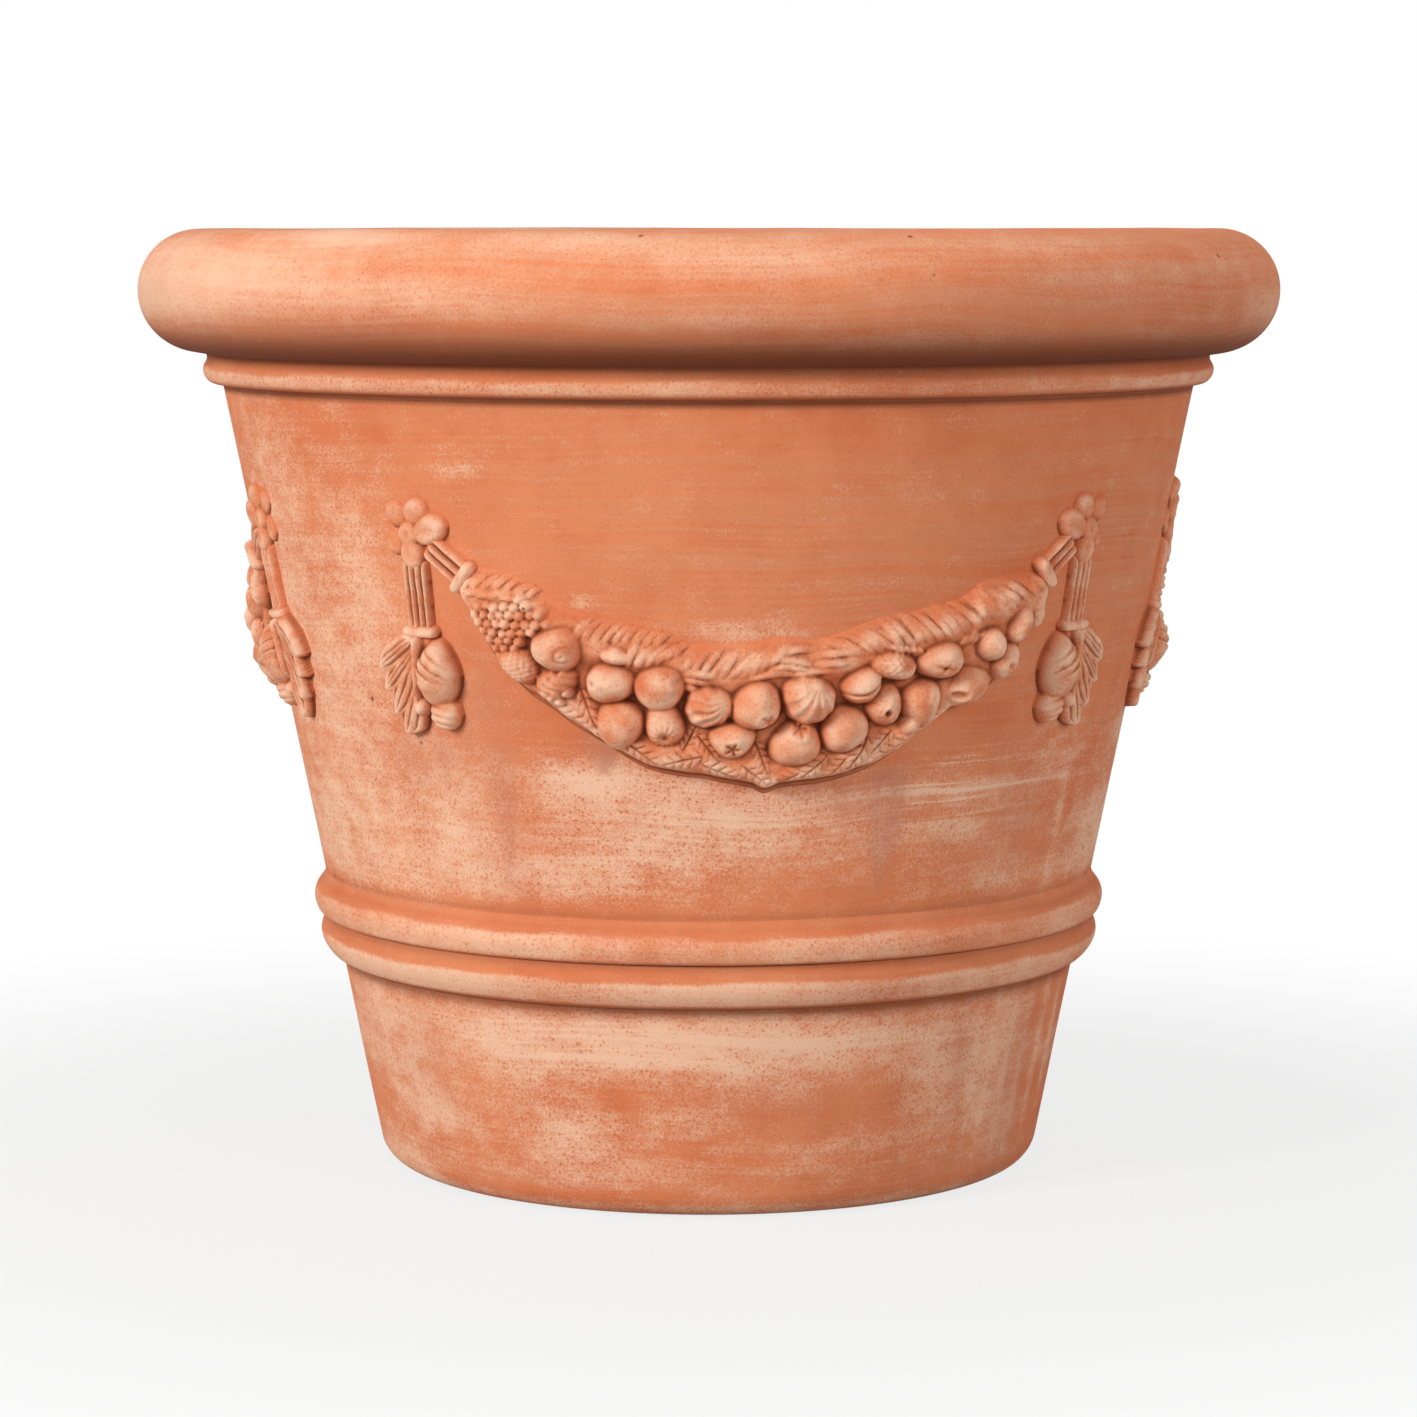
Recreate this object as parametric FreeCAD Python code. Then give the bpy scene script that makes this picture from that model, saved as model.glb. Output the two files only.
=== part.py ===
import FreeCAD, Part
import math
import os

from FreeCAD import Vector

# A hand-built terracotta pot, in millimetres. The origin is on the pot's axis, at the ground.
# The front is -Y. Angles are in degrees about the axis, from the front towards +X.

# The body
pot_height = 494.5
rim_diameter = 600.0
rim_roll_diameter = 64.0
rim_overhang = 40.7      # of the rim beyond the wall at its top edge
foot_diameter = 346.4    # where the wall's slope would meet the ground
wall_thickness = 24.0    # level through the wall
slab_thickness = 26.0
foot_edge_radius = 16.0
drain_hole_diameter = 40.0

# The coils luted round the wall
neck_bead_height = 15.5
neck_bead_proud = 9.4
neck_cove_height = 3.5
neck_cove_proud = 5.4
upper_bead_level_share = 0.2936   # of the pot's height
upper_bead_height = 21.6
upper_bead_proud = 8.4
lower_bead_height = 26.0
lower_bead_proud = 10.0
belt_groove = 0.6

# The festoons: angles are counted from the middle of each festoon
festoon_names = ("front", "right", "left")
festoon_turn = 6.9
side_names = {-1: "left", 1: "right"}
leaf_root = 4.0          # clay behind the wall's face, pared away when a sprig is seated

rosette_angle = 42.7
rosette_level_share = 0.7027      # of the pot's height
rosette_petals = 5
petal_diameter = 12.6
petal_ring_diameter = 19.0
petal_seat = -0.8
button_diameter = 9.6
button_seat = 2.4

band_angle = 36.8
strap_reeds = 3
strap_reed_diameter = 5.8
strap_reed_pitch = 4.9
strap_reed_seat = 1.4
strap_band_length = 20.0
strap_band_diameter = 9.0
strap_band_seat = 2.4

drop_angle = 44.4
stem_reeds = 4
stem_reed_diameter = 5.2
stem_reed_pitch = 4.4
stem_reed_seat = 1.2
drop_band_level_share = 0.6036    # of the pot's height
drop_band_length = 23.0
drop_band_diameter = 7.4
drop_band_seat = 2.6
tassel_height = 53.0
tassel_width = 52.0
tassel_seat = -2.2

garland_level_share = 0.5298      # of the pot's height: the middle, where it hangs lowest
garland_rise_share = 0.1254       # of the pot's height: from there to its bands
garland_depth = 72.0
bed_proud = 6.0
fruit_diameter = 26.4    # of the largest fruit
fruit_seat = 4.7         # height of the fruits' middles above the wall
calyx_diameter = 6.4
calyx_proud = 1.2
berry_diameter = 9.0
berry_pitch = 7.0
berry_seat = 4.4
leaf_lap = 1.2           # step where one leaf lies over the next
spray_length = 46.0
spray_width = 18.0
spray_proud = 7.2
fringe_leaf_length = 27.0
fringe_leaf_width = 10.5
fringe_leaf_proud = 3.6

# Shares of the garland: half its span along, half its depth across
sag_share = 0.775        # of the rise that is a parabola; the rest steepens towards the bands
garland_end_share = 0.985
depth_power = 0.6        # how bluntly its depth runs out towards the bands
# along, across, girth and length of each fruit, and its turn in degrees
fruit_shares = (
    (-0.66, 0.33, 0.92, 1.0, 0),
    (-0.65, -0.26, 0.64, 1.0, 0),
    (-0.50, 0.15, 0.92, 1.0, 0),
    (-0.47, -0.40, 1.00, 1.0, 0),
    (-0.33, 0.29, 0.96, 1.0, 0),
    (-0.33, -0.21, 0.80, 1.2, 75),
    (-0.19, 0.13, 0.86, 1.15, 35),
    (-0.11, -0.31, 0.84, 1.0, 0),
    (-0.03, 0.17, 0.96, 1.0, 0),
    (0.09, -0.40, 0.96, 1.0, 0),
    (0.13, 0.22, 0.86, 1.25, 105),
    (0.25, -0.25, 0.92, 1.0, 0),
    (0.30, 0.34, 0.72, 1.2, 20),
    (0.38, -0.08, 0.58, 1.4, 75),
    (0.41, 0.44, 0.60, 1.3, 15),
    (0.49, -0.24, 0.76, 1.4, 60),
    (0.57, 0.31, 0.88, 1.0, 0),
    (0.65, -0.31, 0.62, 1.6, 25),
    (0.74, 0.12, 0.60, 1.2, 60),
    (0.82, -0.45, 0.54, 1.3, 70),
    (0.86, 0.15, 0.50, 1.5, 75),
)
calyx_least_share = 0.85  # fruits at least this full show their calyx
berry_rows = (4, 5, 4)
handful = 6               # forms pressed onto the bed at a time, from the left
bunch_along_share = -0.83
bunch_across_share = 0.10
spray_count = 9
spray_span_share = 0.82
spray_across_share = 0.76
spray_tilt = 14.0
fringe_leaf_count = 12
fringe_span_share = 0.80
fringe_across_share = -0.84
fringe_tilt = 38.0

# Shares of the tassel: right and down of its band, length of its height, girth of its width, turn
tassel_leaf_shares = (
    (0.08, 0.40, 0.72, 0.46, 95),
    (-0.26, 0.36, 0.66, 0.28, 110),
    (0.30, 0.50, 0.62, 0.28, 70),
    (-0.22, 0.74, 0.50, 0.26, 100),
    (0.18, 0.76, 0.50, 0.26, 80),
)

seat_level = pot_height - rim_roll_diameter
neck_diameter = rim_diameter - 2 * rim_overhang
taper = (neck_diameter - foot_diameter) / 2 / seat_level
upper_bead_level = upper_bead_level_share * pot_height
rosette_level = rosette_level_share * pot_height
drop_band_level = drop_band_level_share * pot_height
garland_level = garland_level_share * pot_height
garland_rise = garland_rise_share * pot_height
axis = Vector(0, 0, 1)


def wall_radius(level):
    return foot_diameter / 2 + taper * level


def wall_frame(angle, level, proud=0):
    """Placement on the wall's face: X to the right, Y up the slope, Z outwards."""
    turn = math.radians(angle)
    right = Vector(math.cos(turn), math.sin(turn), 0)
    out = Vector(math.sin(turn), -math.cos(turn), -taper).normalize()
    up = out.cross(right)
    radius = wall_radius(level)
    place = Vector(radius * math.sin(turn), -radius * math.cos(turn), level) + out * proud
    return FreeCAD.Placement(FreeCAD.Matrix(
        right.x, up.x, out.x, place.x,
        right.y, up.y, out.y, place.y,
        right.z, up.z, out.z, place.z,
        0, 0, 0, 1))


def on_wall(shape, angle, level, proud, turn=0):
    """Seat a shape made at the origin on the wall, turned in the wall's face."""
    spin = FreeCAD.Placement(Vector(), FreeCAD.Rotation(axis, turn))
    shape.Placement = wall_frame(angle, level, proud) * spin
    return shape


def line(start, end):
    return Part.LineSegment(start, end).toShape()


def arc(start, middle, end):
    return Part.Arc(start, middle, end).toShape()


def turned(edges):
    """A solid turned about the pot's axis from an outline in the XZ plane."""
    return Part.Face(Part.Wire(edges)).revolve(Vector(), axis, 360)


def base_slab():
    hole = drain_hole_diameter / 2
    slope = math.hypot(1, taper)
    corner_angle = math.pi / 2 + math.atan(taper)
    tangent = foot_edge_radius / math.tan(corner_angle / 2)
    corner = Vector(wall_radius(0), 0, 0)
    sole = Vector(wall_radius(0) - tangent, 0, 0)
    side = corner + Vector(taper, 0, 1) * (tangent / slope)
    centre = sole + Vector(0, 0, foot_edge_radius)
    bend = centre + (corner - centre).normalize() * foot_edge_radius
    top = Vector(wall_radius(slab_thickness), 0, slab_thickness)
    hole_top = Vector(hole, 0, slab_thickness)
    hole_sole = Vector(hole, 0, 0)
    return turned([
        line(hole_sole, sole),
        arc(sole, bend, side),
        line(side, top),
        line(top, hole_top),
        line(hole_top, hole_sole),
    ])


def pot_wall():
    corners = [
        Vector(wall_radius(slab_thickness) - wall_thickness, 0, slab_thickness),
        Vector(wall_radius(slab_thickness), 0, slab_thickness),
        Vector(wall_radius(seat_level), 0, seat_level),
        Vector(wall_radius(seat_level) - wall_thickness, 0, seat_level),
    ]
    return turned([line(start, end) for start, end in zip(corners, corners[1:] + corners[:1])])


def rolled_rim():
    roll = rim_roll_diameter / 2
    middle = Vector(rim_diameter / 2 - roll, 0, seat_level + roll)
    under = middle - Vector(0, 0, roll)
    crest = middle + Vector(0, 0, roll)
    inside = middle - Vector(roll, 0, 0)
    shoulder = middle + Vector(-roll, 0, roll).normalize() * roll
    foot = Vector(wall_radius(seat_level) - wall_thickness, 0, seat_level)
    return turned([
        line(foot, under),
        arc(under, middle + Vector(roll, 0, 0), crest),
        arc(crest, shoulder, inside),
        line(inside, foot),
    ])


def neck_bead():
    high = seat_level - neck_cove_height
    low = high - neck_bead_height
    crest = (low + high) / 2
    start = Vector(wall_radius(low), 0, low)
    bulge = Vector(wall_radius(crest) + neck_bead_proud, 0, crest)
    cove = Vector(wall_radius(high) + neck_cove_proud, 0, high)
    cove_top = Vector(wall_radius(seat_level) + neck_cove_proud, 0, seat_level)
    back = Vector(wall_radius(seat_level), 0, seat_level)
    return turned([
        arc(start, bulge, cove),
        line(cove, cove_top),
        line(cove_top, back),
        line(back, start),
    ])


def belt_bead(level, height, proud):
    low = level - height / 2
    high = level + height / 2
    start = Vector(wall_radius(low), 0, low)
    bulge = Vector(wall_radius(level) + proud, 0, level)
    end = Vector(wall_radius(high), 0, high)
    return turned([arc(start, bulge, end), line(end, start)])


def upper_bead():
    return belt_bead(upper_bead_level, upper_bead_height, upper_bead_proud)


def lower_bead():
    drop = upper_bead_height / 2 + belt_groove + lower_bead_height / 2
    return belt_bead(upper_bead_level - drop, lower_bead_height, lower_bead_proud)


def rounded_roll(length, diameter):
    """A roll of clay turned about X, with round ends and its seam towards the wall."""
    radius = diameter / 2
    tip = Vector(length / 2, 0, 0)
    core = Vector((length - diameter) / 2, 0, 0)
    side = Vector(0, 0, -radius)
    bend = Vector(1, 0, -1).normalize() * radius
    edges = [
        line(-tip, tip),
        arc(tip, core + bend, core + side),
        arc(side - core, Vector(-bend.x, 0, bend.z) - core, -tip),
    ]
    if length > diameter:
        edges.insert(2, line(core + side, side - core))
    return Part.Face(Part.Wire(edges)).revolve(Vector(), tip, 360)


def ball(diameter):
    return rounded_roll(diameter, diameter)


def leaf(length, width):
    """The outline of a pointed leaf along X, drawn through from behind the wall's face."""
    tip = Vector(length / 2, 0, 0)
    side = Vector(0, width / 2, 0)
    outline = Part.Wire([arc(-tip, side, tip), arc(tip, -side, -tip)])
    outline.translate(Vector(0, 0, -leaf_root))
    return Part.Face(outline).extrude(Vector(0, 0, leaf_root + garland_depth))


def reed(start, end, diameter):
    run = end - start
    return Part.makeCylinder(diameter / 2, run.Length, start, run)


def joined(shapes):
    """Fuse by halves, so that each step joins two bodies of like size."""
    if len(shapes) == 1:
        return shapes[0]
    half = len(shapes) // 2
    return joined(shapes[:half]).fuse(joined(shapes[half:]))


def wall_core(proud=0):
    """All that lies within the wall's outer face, or within a skin of clay on it."""
    return Part.makeCone(wall_radius(0) + proud, wall_radius(pot_height) + proud, pot_height)


def rosette(side):
    angle = side * rosette_angle
    shapes = [on_wall(Part.makeSphere(button_diameter / 2), angle, rosette_level, button_seat)]
    frame = wall_frame(angle, rosette_level, petal_seat)
    for index in range(rosette_petals):
        turn = 2 * math.pi * index / rosette_petals + math.pi / 2
        spot = Vector(math.cos(turn), math.sin(turn), 0) * (petal_ring_diameter / 2)
        petal = ball(petal_diameter)
        petal.Placement = frame * FreeCAD.Placement(spot, FreeCAD.Rotation())
        shapes.append(petal)
    return joined(shapes)


def reeds(start, end, count, pitch, diameter):
    """Parallel reeds that come out from under a rosette and run to a band."""
    run = end.Base - start.Base
    out = start.Rotation.multVec(axis)
    across = out.cross(run).normalize()
    tuck = run.normalize() * (petal_ring_diameter / 2)
    shapes = []
    for index in range(count):
        shift = across * ((index - (count - 1) / 2) * pitch)
        shapes.append(reed(start.Base + tuck + shift, end.Base + shift, diameter))
    return joined(shapes)


def strap(side):
    start = wall_frame(side * rosette_angle, rosette_level, strap_reed_seat)
    end = wall_frame(side * band_angle, garland_level + garland_rise, strap_reed_seat)
    return reeds(start, end, strap_reeds, strap_reed_pitch, strap_reed_diameter)


def strap_band(side):
    level = garland_level + garland_rise
    across = math.radians(rosette_angle - band_angle) * wall_radius(level)
    turn = math.degrees(math.atan2(side * across, rosette_level - level))
    roll = rounded_roll(strap_band_length, strap_band_diameter)
    return on_wall(roll, side * band_angle, level, strap_band_seat, -turn)


def drop_stem(side):
    start = wall_frame(side * (rosette_angle + drop_angle) / 2, rosette_level, stem_reed_seat)
    end = wall_frame(side * drop_angle, drop_band_level, stem_reed_seat)
    return reeds(start, end, stem_reeds, stem_reed_pitch, stem_reed_diameter)


def drop_band(side):
    roll = rounded_roll(drop_band_length, drop_band_diameter)
    return on_wall(roll, side * drop_angle, drop_band_level, drop_band_seat)


def drop_leaves(side):
    frame = wall_frame(side * drop_angle, drop_band_level, tassel_seat)
    shapes = []
    for right, down, length, girth, turn in tassel_leaf_shares:
        spot = Vector(-side * right * tassel_width, -down * tassel_height, 0)
        bud = rounded_roll(length * tassel_height, girth * tassel_width)
        lean = FreeCAD.Placement(spot, FreeCAD.Rotation(axis, -side * (turn - 90) + 90))
        bud.Placement = frame * lean
        shapes.append(bud)
    return joined(shapes)


def garland_lift(along):
    return garland_rise * (sag_share * along**2 + (1 - sag_share) * along**6)


def garland_slope(along):
    """Angle of the garland's line in the wall's face, in degrees."""
    rise = garland_rise * (2 * sag_share * along + 6 * (1 - sag_share) * along**5)
    run = math.radians(band_angle) * wall_radius(garland_level)
    return math.degrees(math.atan2(rise, run))


def half_depth(along):
    return garland_depth / 2 * (1 - along**4)**depth_power


def on_garland(shape, along, across, proud, turn):
    level = garland_level + garland_lift(along) + across * half_depth(along)
    return on_wall(shape, along * band_angle, level, proud, turn)


def garland_bed():
    """The crescent of clay that carries the fruit, drawn in front view through to the wall."""
    def spot(along, across):
        level = garland_level + garland_lift(along) + across * half_depth(along)
        return Vector(wall_radius(level) * math.sin(math.radians(along * band_angle)), 0, level)

    end = garland_end_share
    crescent = Part.Wire([
        arc(spot(-end, 1), spot(0, 1), spot(end, 1)),
        line(spot(end, 1), spot(end, -1)),
        arc(spot(end, -1), spot(0, -1), spot(-end, -1)),
        line(spot(-end, -1), spot(-end, 1)),
    ])
    return Part.Face(crescent).extrude(Vector(0, -rim_diameter / 2, 0)).common(wall_core(bed_proud))


def garland_fruit():
    shapes = []
    for along, across, girth_share, length_share, turn in fruit_shares:
        girth = girth_share * fruit_diameter
        fruit = rounded_roll(length_share * girth, girth)
        if length_share == 1 and girth_share >= calyx_least_share:
            fruit = fruit.fuse(Part.makeCylinder(calyx_diameter / 2, girth / 2 + calyx_proud))
        shapes.append(on_garland(fruit, along, across, fruit_seat, turn))
    return shapes


def garland_bunch():
    """Berries in staggered rows across the garland."""
    slope = math.radians(garland_slope(bunch_along_share))
    along_step = Vector(math.cos(slope), math.sin(slope), 0) * berry_pitch
    across_step = Vector(-math.sin(slope), math.cos(slope), 0) * berry_pitch
    level = garland_level + garland_lift(bunch_along_share)
    level += bunch_across_share * half_depth(bunch_along_share)
    frame = wall_frame(bunch_along_share * band_angle, level, berry_seat)
    shapes = []
    for row, count in enumerate(berry_rows):
        for index in range(count):
            spot = along_step * (row - (len(berry_rows) - 1) / 2)
            spot += across_step * (index - (count - 1) / 2)
            berry = ball(berry_diameter)
            berry.Placement = frame * FreeCAD.Placement(spot, FreeCAD.Rotation())
            shapes.append(berry)
    return shapes


def garland_leaves(count, span, across, length, width, proud, tilt):
    """Leaves along one edge of the garland, by turns over and under and leaning to either side."""
    skins = [wall_core(proud), wall_core(proud + leaf_lap)]
    shapes = []
    for index in range(count):
        along = span * (2 * index / (count - 1) - 1)
        over = index % 2
        turn = garland_slope(along) + (tilt if over else -tilt)
        shapes.append(on_garland(leaf(length, width), along, across, 0, turn).common(skins[over]))
    return shapes


def garland():
    sprays = garland_leaves(spray_count, spray_span_share, spray_across_share,
                            spray_length, spray_width, spray_proud, spray_tilt)
    fringe = garland_leaves(fringe_leaf_count, fringe_span_share, fringe_across_share,
                            fringe_leaf_length, fringe_leaf_width, fringe_leaf_proud, fringe_tilt)
    forms = sprays + fringe + garland_fruit() + garland_bunch()
    forms.sort(key=lambda form: form.BoundBox.Center.x)
    body = garland_bed()
    for start in range(0, len(forms), handful):
        body = body.fuse(joined(forms[start:start + handful]))
    return body


def festoon():
    """The sprigs of one festoon at the front of the pot, each pared to fit the wall and its neighbours."""
    core = wall_core()
    sprigs = {}
    bands = []
    for side, name in side_names.items():
        flower = rosette(side).cut(core)
        band = strap_band(side).cut(core)
        tie = drop_band(side).cut(core)
        hanger = strap(side).cut([core, flower, band])
        sprigs["rosette_" + name] = flower
        sprigs["strap_band_" + name] = band
        sprigs["drop_band_" + name] = tie
        sprigs["strap_" + name] = hanger
        sprigs["drop_stem_" + name] = drop_stem(side).cut([core, flower, tie, hanger])
        sprigs["drop_leaves_" + name] = drop_leaves(side).cut([core, tie])
        bands.append(band)
    sprigs["garland"] = garland().cut([core] + bands)
    return sprigs


def build():
    pieces = {
        "base_slab": base_slab(),
        "pot_wall": pot_wall(),
        "rolled_rim": rolled_rim(),
        "neck_bead": neck_bead(),
        "belt_bead_upper": upper_bead(),
        "belt_bead_lower": lower_bead(),
    }
    for sprig, shape in festoon().items():
        for index, name in enumerate(festoon_names):
            copy = shape.copy()
            copy.rotate(Vector(), axis, festoon_turn + 360 * index / len(festoon_names))
            pieces[name + "_" + sprig] = copy
    return pieces


os.makedirs("parts", exist_ok=True)
for node, shape in build().items():
    shape.exportStep("parts/" + node + ".step")
    print(node, len(shape.Solids), "solid,", round(shape.Volume), "cubic mm, valid", shape.isValid())
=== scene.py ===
import math

import bpy
import numpy as np
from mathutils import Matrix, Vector


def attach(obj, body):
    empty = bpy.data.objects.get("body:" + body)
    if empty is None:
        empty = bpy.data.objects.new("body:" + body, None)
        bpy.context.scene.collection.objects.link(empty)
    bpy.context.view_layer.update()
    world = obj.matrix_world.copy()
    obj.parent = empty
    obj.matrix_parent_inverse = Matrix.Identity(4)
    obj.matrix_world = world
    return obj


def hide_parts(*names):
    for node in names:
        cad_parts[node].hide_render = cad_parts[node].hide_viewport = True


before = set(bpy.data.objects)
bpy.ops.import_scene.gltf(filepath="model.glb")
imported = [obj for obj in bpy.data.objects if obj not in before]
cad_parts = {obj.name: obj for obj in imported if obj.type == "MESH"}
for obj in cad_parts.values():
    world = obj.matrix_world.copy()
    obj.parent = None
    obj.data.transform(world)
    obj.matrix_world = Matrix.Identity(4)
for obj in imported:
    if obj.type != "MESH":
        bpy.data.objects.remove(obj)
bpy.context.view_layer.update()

mm = 0.001
print("frame loaded:", len(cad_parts), "nodes")

# the wall is a cone: every sprig is laid on it
wall = {
    "footRadius": 173.2, "taper": 0.2, "seatLevel": 430.5, "slabTop": 26.0, "thickness": 24.0,
}
festoonTurns = {"front": 6.9, "right": 126.9, "left": 246.9}   # degrees from the front towards +X


def wallRadius(level):
    return wall["footRadius"] + wall["taper"] * level


# node helpers
def plug(tree, socket, value):
    if isinstance(value, bpy.types.NodeSocket):
        tree.links.new(value, socket)
    else:
        socket.default_value = value


def calc(tree, operation, *values):
    made = tree.nodes.new("ShaderNodeMath")
    made.operation = operation
    for socket, value in zip(made.inputs, values):
        plug(tree, socket, value)
    return made.outputs[0]


def plus(tree, one, other):
    return calc(tree, "ADD", one, other)


def minus(tree, one, other):
    return calc(tree, "SUBTRACT", one, other)


def times(tree, one, other):
    return calc(tree, "MULTIPLY", one, other)


def node(tree, kind, inputs=(), **settings):
    made = tree.nodes.new(kind)
    for key, value in settings.items():
        setattr(made, key, value)
    for name, value in dict(inputs).items():
        plug(tree, made.inputs[name], value)
    return made


def splitVector(tree, vector):
    return node(tree, "ShaderNodeSeparateXYZ", {0: vector}).outputs


def joinVector(tree, x, y, z):
    return node(tree, "ShaderNodeCombineXYZ", {0: x, 1: y, 2: z}).outputs[0]


def newGroup(name, kind, inputs, outputs):
    tree = bpy.data.node_groups.new(name, kind)
    for way, sockets in (("INPUT", inputs), ("OUTPUT", outputs)):
        for label, socketKind in sockets:
            tree.interface.new_socket(label, in_out=way, socket_type="NodeSocket" + socketKind)
    return tree, tree.nodes.new("NodeGroupInput").outputs, tree.nodes.new("NodeGroupOutput").inputs


def onward(tree, kind, shape, inputs=(), **settings):
    # the next step of a geometry tree
    return node(tree, kind, {"Geometry": shape, **dict(inputs)}, **settings).outputs[0]


def finished(tree, shape, clay):
    shape = onward(tree, "GeometryNodeRealizeInstances", shape)
    return onward(tree, "GeometryNodeSetMaterial", shape, {"Material": clay})


def runTree(obj, tree, values):
    # set the inputs by identifier, then keep the result as a plain mesh
    modifier = obj.modifiers.new(tree.name, "NODES")
    modifier.node_group = tree
    for item in tree.interface.items_tree:
        if item.item_type == "SOCKET" and item.in_out == "INPUT" and item.name in values:
            modifier[item.identifier] = values[item.name]
    graph = bpy.context.evaluated_depsgraph_get()
    mesh = bpy.data.meshes.new_from_object(obj.evaluated_get(graph))
    obj.modifiers.clear()
    obj.data = mesh
    mesh.name = obj.name


# a turned piece: the outline goes round the axis, a little out of true as hand work is
turning = {"mergeDistance": 0.00001, "lumpDetail": 2.0, "creaseAngle": 0.8}


def makeTurnedTree():
    tree, given, result = newGroup("turnedClay", "GeometryNodeTree", (
        ("Outline", "Geometry"), ("Segments", "Int"), ("Unevenness", "Float"),
        ("Lump Scale", "Float"), ("Seed", "Float"), ("Follow Face", "Float"), ("Clay", "Material"),
    ), (("Turned", "Geometry"),))
    place = node(tree, "GeometryNodeInputPosition").outputs[0]
    here = splitVector(tree, place)
    count = node(tree, "GeometryNodeAttributeDomainSize", {0: given["Outline"]},
                 component="MESH").outputs["Point Count"]
    sheet = node(tree, "GeometryNodeMeshGrid", {
        "Size X": 1.0, "Size Y": 1.0,
        "Vertices X": plus(tree, count, 1), "Vertices Y": plus(tree, given["Segments"], 1)})
    step = calc(tree, "ROUND", times(tree, plus(tree, here[0], 0.5), count))
    outline = node(tree, "GeometryNodeSampleIndex", {
        "Geometry": given["Outline"], "Value": place, "Index": calc(tree, "MODULO", step, count)},
        data_type="FLOAT_VECTOR", domain="POINT").outputs["Value"]
    point = splitVector(tree, outline)
    turn = times(tree, plus(tree, here[1], 0.5), 2 * math.pi)
    ring = joinVector(tree, times(tree, point[0], calc(tree, "SINE", turn)),
                      times(tree, point[0], calc(tree, "COSINE", turn)), point[2])
    turned = onward(tree, "GeometryNodeSetPosition", sheet.outputs["Mesh"], {"Position": ring})
    turned = onward(tree, "GeometryNodeMergeByDistance", turned, {"Distance": turning["mergeDistance"]})
    lumps = node(tree, "ShaderNodeTexNoise", {
        "Vector": place, "W": given["Seed"], "Scale": given["Lump Scale"], "Detail": turning["lumpDetail"]},
        noise_dimensions="4D").outputs[0]
    swell = times(tree, minus(tree, lumps, 0.5), given["Unevenness"])
    outward = node(tree, "ShaderNodeVectorMath", {0: joinVector(tree, here[0], here[1], 0.0)},
                   operation="NORMALIZE")
    way = node(tree, "ShaderNodeMix", {0: given["Follow Face"]}, data_type="VECTOR")
    plug(tree, way.inputs[4], outward.outputs[0])
    plug(tree, way.inputs[5], node(tree, "GeometryNodeInputNormal").outputs[0])
    push = node(tree, "ShaderNodeVectorMath", {0: way.outputs[1], "Scale": swell}, operation="SCALE")
    turned = onward(tree, "GeometryNodeSetPosition", turned, {"Offset": push.outputs[0]})
    turned = onward(tree, "GeometryNodeSetShadeSmooth", turned)
    bent = node(tree, "GeometryNodeInputMeshEdgeAngle").outputs["Unsigned Angle"]
    sharp = calc(tree, "GREATER_THAN", bent, turning["creaseAngle"])
    turned = onward(tree, "GeometryNodeSetShadeSmooth", turned, {
        "Selection": sharp, "Shade Smooth": False}, domain="EDGE")
    plug(tree, result[0], finished(tree, turned, given["Clay"]))
    return tree


# a pressed sprig: modelled flat, then laid round the wall
def makeLayTree():
    tree, given, result = newGroup("layOnWall", "GeometryNodeTree", (
        ("Sprig", "Geometry"), ("Angle", "Float"), ("Level", "Float"), ("Foot Radius", "Float"),
        ("Taper", "Float"), ("Clay", "Material"),
    ), (("Laid", "Geometry"),))
    flat = splitVector(tree, node(tree, "GeometryNodeInputPosition").outputs[0])
    taper = given["Taper"]
    level = plus(tree, given["Level"], flat[1])
    radius = plus(tree, given["Foot Radius"], times(tree, taper, level))
    middle = plus(tree, given["Foot Radius"], times(tree, taper, given["Level"]))
    turn = plus(tree, given["Angle"], calc(tree, "DIVIDE", flat[0], middle))
    slope = calc(tree, "SQRT", plus(tree, times(tree, taper, taper), 1.0))
    proud = calc(tree, "DIVIDE", flat[2], slope)
    reach = plus(tree, radius, proud)
    laid = joinVector(
        tree, times(tree, reach, calc(tree, "SINE", turn)),
        times(tree, times(tree, reach, calc(tree, "COSINE", turn)), -1.0),
        minus(tree, level, times(tree, proud, taper)))
    sprig = onward(tree, "GeometryNodeSetPosition", given["Sprig"], {"Position": laid})
    sprig = onward(tree, "GeometryNodeSetShadeSmooth", sprig)
    plug(tree, result[0], finished(tree, sprig, given["Clay"]))
    return tree


turnedTree = makeTurnedTree()
layTree = makeLayTree()


# shared clay effects as shader groups
def noise(tree, vector, scale, detail=2.0, roughness=0.5):
    return node(tree, "ShaderNodeTexNoise", {
        "Vector": vector, "Scale": scale, "Detail": detail, "Roughness": roughness}).outputs[0]


def stretch(tree, vector, x, y, z):
    made = node(tree, "ShaderNodeVectorMath", {0: vector}, operation="MULTIPLY")
    made.inputs[1].default_value = (x, y, z)
    return made.outputs[0]


def ease(tree, value, low, high):
    return node(tree, "ShaderNodeMapRange", {"Value": value, "From Min": low, "From Max": high},
                interpolation_type="SMOOTHSTEP").outputs[0]


def drawnOut(tree, vector, level, up, detail, roughness):
    # noise drawn out along the level, or down the wall
    return noise(tree, stretch(tree, vector, level, level, up), 1.0, detail, roughness)


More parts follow.
